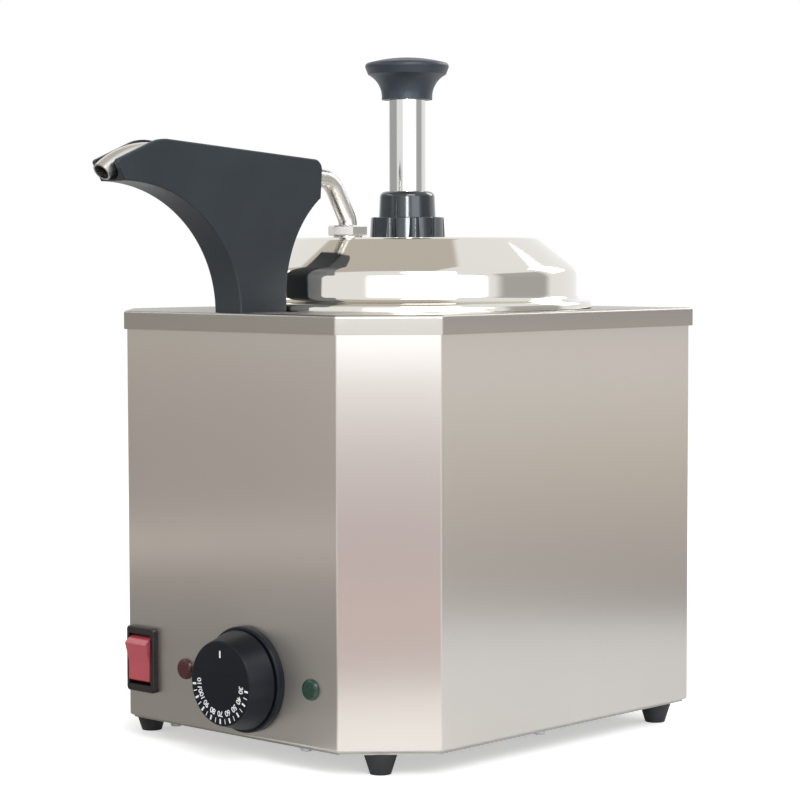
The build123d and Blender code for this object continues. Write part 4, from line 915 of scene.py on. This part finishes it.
@dataclass
class SpoutLine(SubAssembly):
    """The heated cover, and the discharge tube with the union that carries it through the lid."""

    title: ClassVar[str] = "spout"
    finishes: ClassVar[dict[str, Finish]] = {
        "spout_shroud_right": COVER_COAT, "spout_shroud_left": COVER_COAT,
        "shroud_screws": SCREW_ZINC, "spout_post": CAST_BLOCK, "post_screws": SCREW_ZINC,
        "spout_heater": HEATER_SHEATH, "discharge_tube": TUBE_STEEL, "tube_union": TUBE_STEEL,
        "union_nut": TUBE_STEEL, "union_locknut": TUBE_STEEL,
    }

    axis_y: float = PUMP_AXIS_Y_MM - UNION_AHEAD_MM
    tube_radius: float = 4.5
    tube_wall: float = 0.8
    fit: float = 0.05  # play between the tube and the union
    neck_top: float = 254.0  # where the tube's upright start would meet its rise
    neck_bend: float = 8.0
    knee: tuple[float, float, float] = (-10.31, 273.47, 11.0)  # y, z and bend
    brow: tuple[float, float, float] = (-141.15, 284.92, 45.0)
    mouth: tuple[float, float, float] = (-155.12, 274.0, 0.0)
    stem_radius: float = 6.0
    stem_low: float = 234.1
    shoulder_low: float = 239.3  # the riser ends under the shoulder, the tube stands on it
    shoulder_high: float = 243.3
    collar_radius: float = 7.0
    lid_top: float = 245.3
    collar_high: float = 246.1
    stem_high: float = 249.4
    nut_corner: float = 9.815
    nut_high: float = 251.3
    nut_chamfer: float = 0.7
    sides: int = 64  # of the union's round parts
    overrun: float = 1.0  # how far a drill starts before and ends behind the piece

    def tube(self) -> Object:
        """The bent tube, from the union over the deck to the spout's mouth.

        Returns:
            The tube.
        """
        route = [
            (self.axis_y, self.shoulder_high, 0.0),
            (self.axis_y, self.neck_top, self.neck_bend),
            self.knee,
            self.brow,
            self.mouth,
        ]
        tube = bent_tube(route, self.tube_radius, self.tube_wall)
        smooth(tube, 40.0)
        return settle(tube, "spout_tube", SATIN_STEEL)

    def union(self) -> Object:
        """The union's body: a stem with a shoulder inside and a collar on the lid.

        Returns:
            The body.
        """
        bore = self.tube_radius + self.fit
        narrow = self.tube_radius - self.tube_wall
        body = turned([
            (bore, self.stem_low), (self.stem_radius, self.stem_low),
            (self.stem_radius, self.lid_top), (self.collar_radius, self.lid_top),
            (self.collar_radius, self.collar_high), (self.stem_radius, self.collar_high),
            (self.stem_radius, self.stem_high), (bore, self.stem_high), (bore, self.shoulder_high),
            (narrow, self.shoulder_high), (narrow, self.shoulder_low), (bore, self.shoulder_low),
            (bore, self.stem_low),
        ], self.sides)
        body.location = (0, self.axis_y * MM, 0)
        smooth(body)
        return settle(body, "union_body", SATIN_STEEL)

    def nut(self) -> Object:
        """The level hexagon nut that holds the tube down in the union.

        Returns:
            The nut.
        """
        small = self.nut_corner - self.nut_chamfer
        nut = turned([
            (0, self.collar_high), (small, self.collar_high),
            (self.nut_corner, self.collar_high + self.nut_chamfer),
            (self.nut_corner, self.nut_high - self.nut_chamfer), (small, self.nut_high),
            (0, self.nut_high),
        ], 6)
        start = self.collar_high - self.overrun
        below = Vector((0, 0, start))
        drill(nut, below, self.stem_radius + self.fit, self.stem_high + self.fit - start)
        drill(nut, below, self.tube_radius + self.fit, self.nut_high + self.overrun - start)
        nut.location = (0, self.axis_y * MM, 0)
        smooth(nut, 20.0)
        return settle(nut, "union_hexagon", SATIN_STEEL)

    def build(self) -> list[Object]:
        """Makes the tube, the union and its nut, which ride with the pump.

        Returns:
            The three pieces.
        """
        made = {"discharge_tube": self.tube(), "tube_union": self.union(), "union_nut": self.nut()}
        return [self.stand_in(piece, node, "lid_and_pump") for node, piece in made.items()]


@dataclass
class LidAndPump(SubAssembly):
    """The pump, hung in a lid that is spun from one disc, and its return spring."""

    title: ClassVar[str] = "lid and pump"
    finishes: ClassVar[dict[str, Finish]] = {
        "lid": SPUN_STEEL, "lid_gasket": NITRILE, "lock_collar": COLLAR_NYLON,
        "guide_cap": COLLAR_NYLON, "pump_barrel": TUBE_STEEL, "pump_rod": TUBE_STEEL,
        "pump_knob": KNOB_PHENOLIC, "piston": ACETAL, "piston_seals": SILICONE,
        "return_spring": SCREW_ZINC, "valve_block": ACETAL, "intake_ball": TUBE_STEEL,
        "outlet_ball": TUBE_STEEL, "riser_tube": TUBE_STEEL,
    }

    gauge: float = 1.2
    lip_radius: float = 91.5  # radii and heights are those of the lid's inner side
    lip_low: float = 210.5
    lip_high: float = 212.8
    lip_round: float = 1.2
    wall_radius: float = 84.0
    sweep_round: float = 4.7  # from the lip up into the wall
    shoulder_high: float = 228.5
    shoulder_round: float = 6.0
    top_radius: float = 64.5
    top_high: float = 244.1
    top_round: float = 5.0
    barrel_hole: float = 12.6
    union_hole: float = 6.1
    round_steps: int = 8
    sides: int = 192
    stroke: float = 42.0  # how far the plunger presses the return spring together

    def lid(self) -> Object:
        """The spun lid, with a hole for the barrel and one for the union.

        Returns:
            The lid.
        """
        inside = rounded([
            (self.lip_radius, self.lip_low, 0.0), (self.lip_radius, self.lip_high, self.lip_round),
            (self.wall_radius, self.lip_high, self.sweep_round),
            (self.wall_radius, self.shoulder_high, self.shoulder_round),
            (self.top_radius, self.top_high, self.top_round),
            (self.barrel_hole, self.top_high, 0.0),
        ], self.round_steps)
        lid = turned(inside, self.sides)
        thicken(lid, self.gauge, Growth.OUTWARD)
        below = Vector((0, -UNION_AHEAD_MM, self.top_high - self.gauge))
        drill(lid, below, self.union_hole, 3 * self.gauge)
        lid.location = (0, PUMP_AXIS_Y_MM * MM, 0)
        smooth(lid, 35.0)
        return settle(lid, "spun_lid", SPUN_STEEL)

    def spring(self) -> Object:
        """A copy of the return spring, its loose triangles merged.

        Returns:
            The spring.
        """
        deselect()
        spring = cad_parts["return_spring"].copy()
        spring.data = spring.data.copy()
        spring.parent = None
        bpy.context.collection.objects.link(spring)
        pick(spring)
        bpy.ops.object.mode_set(mode="EDIT")
        bpy.ops.mesh.select_all(action="SELECT")
        bpy.ops.mesh.remove_doubles(threshold=WELD)
        bpy.ops.object.mode_set(mode="OBJECT")
        smooth(spring, 40.0)
        return settle(spring, "sprung_wire", SCREW_ZINC)

    def build(self) -> list[Object]:
        """Makes the lid, and a copy of the return spring with its loose triangles merged.

        Returns:
            The lid and the spring.
        """
        lid = self.stand_in(self.lid(), "lid", "lid_and_pump")
        spring = self.stand_in(self.spring(), "return_spring", "lid_and_pump")
        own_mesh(spring)
        return [lid, spring]


@dataclass(frozen=True)
class Board:
    """A soft-edged board that only polished metal and gloss mirror.

    Its tone runs in level bands from its lower edge to its upper one.
    """

    name: str
    bearing: float  # its direction from the foot point, in degrees, as the camera's azimuth
    reach: float  # its distance from the foot point, in metres
    width: float
    low: float
    high: float
    tones: dict[float, str]  # colour at each share of the height
    strength: float = 1.0
    foot: tuple[float, float] = (0.0, 0.03)  # the point that it faces, on the floor
    side_fade: float = 0.12  # share of the width over which each end fades out
    top_fade: float = 0.08
    lying: bool = False  # lies level at the height low instead of standing

    def build(self) -> Object:
        """Puts up the board.

        Returns:
            The board, marked as part of the studio.
        """
        turn = math.radians(self.bearing)
        ahead = Vector((math.sin(turn), -math.cos(turn), 0.0))
        place = Vector((*self.foot, 0.0)) + ahead * self.reach
        place.z = self.low if self.lying else (self.low + self.high) / 2
        tilt = 0.0 if self.lying else math.pi / 2
        deselect()
        bpy.ops.mesh.primitive_plane_add(size=1, location=place, rotation=(tilt, 0, turn))
        board = bpy.context.object
        board.scale = (self.width, self.high - self.low, 1)
        board.name = self.name
        board.data.materials.append(self.material())
        board.visible_camera = False
        board.visible_diffuse = False
        board.visible_shadow = False
        board.visible_transmission = False
        deselect()
        return board

    def material(self) -> Material:
        """The board's light: bands of tone that fade out at its edges.

        Returns:
            The material.
        """
        made = bpy.data.materials.new(f"{self.name} light")
        tree = bare_tree(made)
        place = add_node(tree, "ShaderNodeTexCoord").outputs["Object"]
        parts = add_node(tree, "ShaderNodeSeparateXYZ", {"Vector": place})
        rise = maths(tree, "ADD", parts.outputs["Y"], 0.5)
        ramp = add_node(tree, "ShaderNodeValToRGB", {"Fac": rise})
        stops = ramp.color_ramp.elements
        for index, (share, tone) in enumerate(self.tones.items()):
            stop = stops[index] if index < 2 else stops.new(share)  # a new ramp has two
            stop.position = share
            stop.color = linear(tone)
        side = maths(tree, "ABSOLUTE", parts.outputs["X"])
        inside = add_node(tree, "ShaderNodeMapRange", {
            "Value": side, "From Min": 0.5, "From Max": 0.5 - self.side_fade,
        }, interpolation_type="SMOOTHSTEP")
        under = add_node(tree, "ShaderNodeMapRange", {
            "Value": rise, "From Min": 1.0, "From Max": 1.0 - self.top_fade,
        }, interpolation_type="SMOOTHSTEP")
        cover = maths(tree, "MULTIPLY", inside.outputs["Result"], under.outputs["Result"])
        glow = add_node(tree, "ShaderNodeEmission", {
            "Color": ramp.outputs["Color"], "Strength": self.strength,
        })
        clear = add_node(tree, "ShaderNodeBsdfTransparent")
        both = add_node(tree, "ShaderNodeMixShader", {
            "Fac": cover, 1: clear.outputs["BSDF"], 2: glow.outputs["Emission"],
        })
        add_node(tree, "ShaderNodeOutputMaterial", {"Surface": both.outputs["Shader"]})
        return made


# the low boards stand close, so that their bands stay level and distinct in brushed sheet
FRONT_BOARD = Board(
    "front_board", -43.0, 0.40, 0.62, 0.0, 0.21,
    {0.0: "#96948F", 0.18: "#A6A19B", 0.25: "#FFF4EC", 0.34: "#B2AAA5", 0.55: "#B7AEA8", 0.95: "#CBC5BA"},
    foot=(0.0, -0.08),
)
FRONT_MAT = Board(
    "front_mat", -43.0, 0.22, 0.62, 0.002, 0.442, {0.0: "#9A9893", 1.0: "#A3A09A"},
    foot=(0.0, -0.08), top_fade=0.01, lying=True,
)
CORNER_BOARD = Board(
    "corner_board", 46.9, 0.23, 0.34, 0.0, 0.205,
    {0.0: "#A99E9E", 0.18: "#BFAAA7", 0.38: "#ACA09F", 0.62: "#BCB3B2", 0.84: "#DAD8D7", 0.94: "#FFFFFF"},
    strength=1.7, foot=(0.088, -0.063), top_fade=0.02,
)
CORNER_MAT = Board(
    "corner_mat", 46.9, 0.12, 0.30, 0.002, 0.202, {0.0: "#FFFDFA", 1.0: "#FFFDFA"},
    strength=1.45, foot=(0.088, -0.063), side_fade=0.3, top_fade=0.01, lying=True,
)
SIDE_BOARD = Board(
    "side_board", 136.9, 0.42, 0.66, 0.0, 0.20,
    {0.0: "#A9A7A5", 0.2: "#C1BAB3", 0.52: "#DBD5C9", 0.8: "#F0EBE4", 1.0: "#F8EFEC"},
    foot=(0.105, 0.03),
)
# tall boards and a soft box for the spun lid, the rod and the tubes, behind the low ones
LEFT_BOARD = Board(
    "left_board", -62.0, 1.0, 1.7, 0.08, 0.80, {0.0: "#A9A6A0", 0.3: "#B4B4B3", 1.0: "#B4B4B3"}
)
RIGHT_BOARD = Board(
    "right_board", 127.0, 1.0, 1.0, 0.08, 0.80, {0.0: "#ABA299", 0.25: "#B9B8B6", 1.0: "#C2C2C1"},
    side_fade=0.2,
)
SOFT_BOX = Board(
    "soft_box", 53.0, 1.2, 1.9, 0.04, 0.9, {0.0: "#FFFFFF", 1.0: "#FFFFFF"}, strength=1.5,
    side_fade=0.06,
)
STRIP_LIGHT = Board(
    "strip_light", 43.0, 1.1, 0.30, 0.26, 0.60, {0.0: "#F2F8FF", 1.0: "#F2F8FF"}, strength=20.0,
    foot=(0.0, 0.044), side_fade=0.4,
)
SIDE_STRIP = Board(
    "side_strip", 78.0, 1.1, 0.80, 0.26, 0.60, {0.0: "#F2F8FF", 1.0: "#F2F8FF"}, strength=3.3,
    foot=(0.0, 0.044), side_fade=0.2,
)
CEILING = Board(
    "ceiling", -47.0, 0.50, 1.6, 1.5, 3.3, {0.0: "#CEC7BE", 1.0: "#CEC7BE"},
    side_fade=0.03, top_fade=0.03, lying=True,
)
BOARDS = (
    FRONT_BOARD, FRONT_MAT, CORNER_BOARD, CORNER_MAT, SIDE_BOARD, LEFT_BOARD, RIGHT_BOARD,
    SOFT_BOX, STRIP_LIGHT, SIDE_STRIP, CEILING,
)


@dataclass(frozen=True)
class Lamp:
    """A soft square lamp that faces the machine."""

    name: str
    place: tuple[float, float, float]  # in metres
    size: float  # the side of its face, in metres
    power: float  # in watts

    def build(self, aim: Vector) -> Object:
        """Hangs the lamp.

        Args:
            aim: the point that it faces.

        Returns:
            The lamp.
        """
        data = bpy.data.lights.new(self.name, "AREA")
        data.energy = self.power
        data.size = self.size
        lamp = bpy.data.objects.new(self.name, data)
        lamp.location = self.place
        lamp.rotation_euler = (aim - lamp.location).to_track_quat("-Z", "Y").to_euler()
        bpy.context.collection.objects.link(lamp)
        return lamp


LAMPS = (
    Lamp("key", (1.3, -0.7, 1.3), 1.0, 16.0),
    Lamp("fill", (-1.2, -1.1, 0.9), 1.0, 7.0),
    Lamp("back", (0.2, 1.6, 1.1), 0.8, 8.0),
)


@dataclass
class Studio:
    """The floor, the lights, the boards that metal mirrors, and the camera."""

    azimuth: float = 43.12
    elevation: float = 3.41
    roll: float = 0.12
    eye: tuple[float, float, float] = (857.3, -876.5, 238.45)  # in millimetres
    focal: float = 112.16
    sensor: float = 36.0
    aim: tuple[float, float, float] = (0.0, 0.0, 0.16)  # where the lamps point, in metres
    floor_size: float = 3.2
    floor_tone: float = 0.86
    floor_lift: float = 0.46  # light that the floor adds where it is seen, so that it ends white
    floor_gleam: float = 0.10  # the same where it is mirrored
    air_light: float = 0.62  # the air's strength where it only lights

    def camera(self) -> None:
        """Sets up the camera and makes it the scene's."""
        data = bpy.data.cameras.new("camera")
        data.lens = self.focal
        data.sensor_width = self.sensor
        data.clip_start = 0.05
        camera = bpy.data.objects.new("camera", data)
        camera.location = Vector(self.eye) * MM
        camera.rotation_euler = (
            math.radians(90 - self.elevation),
            math.radians(self.roll),
            math.radians(self.azimuth),
        )
        bpy.context.collection.objects.link(camera)
        bpy.context.scene.camera = camera

    def seen(self, tree: NodeTree) -> NodeSocket:
        """One for rays that see, mirror or look through, and none for rays that light.

        Args:
            tree: the tree that the nodes join.

        Returns:
            The socket with that number.
        """
        rays = add_node(tree, "ShaderNodeLightPath").outputs
        mirrored = maths(tree, "MAXIMUM", rays["Is Camera Ray"], rays["Is Glossy Ray"])
        return maths(tree, "MAXIMUM", mirrored, rays["Is Transmission Ray"])

    def floor(self) -> None:
        """Lays the pale floor, which keeps the machine's shadow."""
        deselect()
        bpy.ops.mesh.primitive_circle_add(vertices=96, radius=self.floor_size, fill_type="NGON")
        floor = bpy.context.object
        floor.name = "floor"
        made = bpy.data.materials.new("floor matt white")
        tree = bare_tree(made)
        matt = add_node(tree, "ShaderNodeBsdfDiffuse", {"Color": (*[self.floor_tone] * 3, 1.0)})
        rays = add_node(tree, "ShaderNodeLightPath").outputs
        gleam = maths(tree, "MULTIPLY", self.seen(tree), self.floor_gleam)
        extra = self.floor_lift - self.floor_gleam
        lift = maths(tree, "MULTIPLY_ADD", rays["Is Camera Ray"], extra, gleam)
        glow = add_node(tree, "ShaderNodeEmission", {"Color": WHITE, "Strength": lift})
        both = add_node(
            tree, "ShaderNodeAddShader", {0: matt.outputs["BSDF"], 1: glow.outputs["Emission"]}
        )
        add_node(tree, "ShaderNodeOutputMaterial", {"Surface": both.outputs["Shader"]})
        floor.data.materials.append(made)
        deselect()

    def air(self) -> None:
        """Lights the air: white where it is seen or mirrored, softer where it only lights."""
        world = bpy.data.worlds.new("studio air")
        bpy.context.scene.world = world
        tree = bare_tree(world)
        light = add_node(tree, "ShaderNodeMapRange", {
            "Value": self.seen(tree), "To Min": self.air_light, "To Max": 1.0,
        })
        air = add_node(tree, "ShaderNodeBackground", {
            "Color": WHITE, "Strength": light.outputs["Result"],
        })
        add_node(tree, "ShaderNodeOutputWorld", {"Surface": air.outputs["Background"]})

    def build(self) -> None:
        """Builds the whole studio and reports it."""
        self.camera()
        self.floor()
        self.air()
        for lamp in LAMPS:
            lamp.build(Vector(self.aim))
        for board in BOARDS:
            board.build()
        bpy.context.scene.view_settings.view_transform = "Standard"
        log.info("studio: floor, %d lamps, %d boards and camera ready", len(LAMPS), len(BOARDS))


def sub_assemblies() -> list[SubAssembly]:
    """The machine's groups, from the housing up."""
    return [Housing(), Well(), Controls(), MainsEntry(), SpoutLine(), LidAndPump()]


def main() -> None:
    """Dresses and builds the groups in order, then the studio."""
    for group in sub_assemblies():
        group.dress()
        group.build()
    Studio().build()


if __name__ == "__main__":
    main()
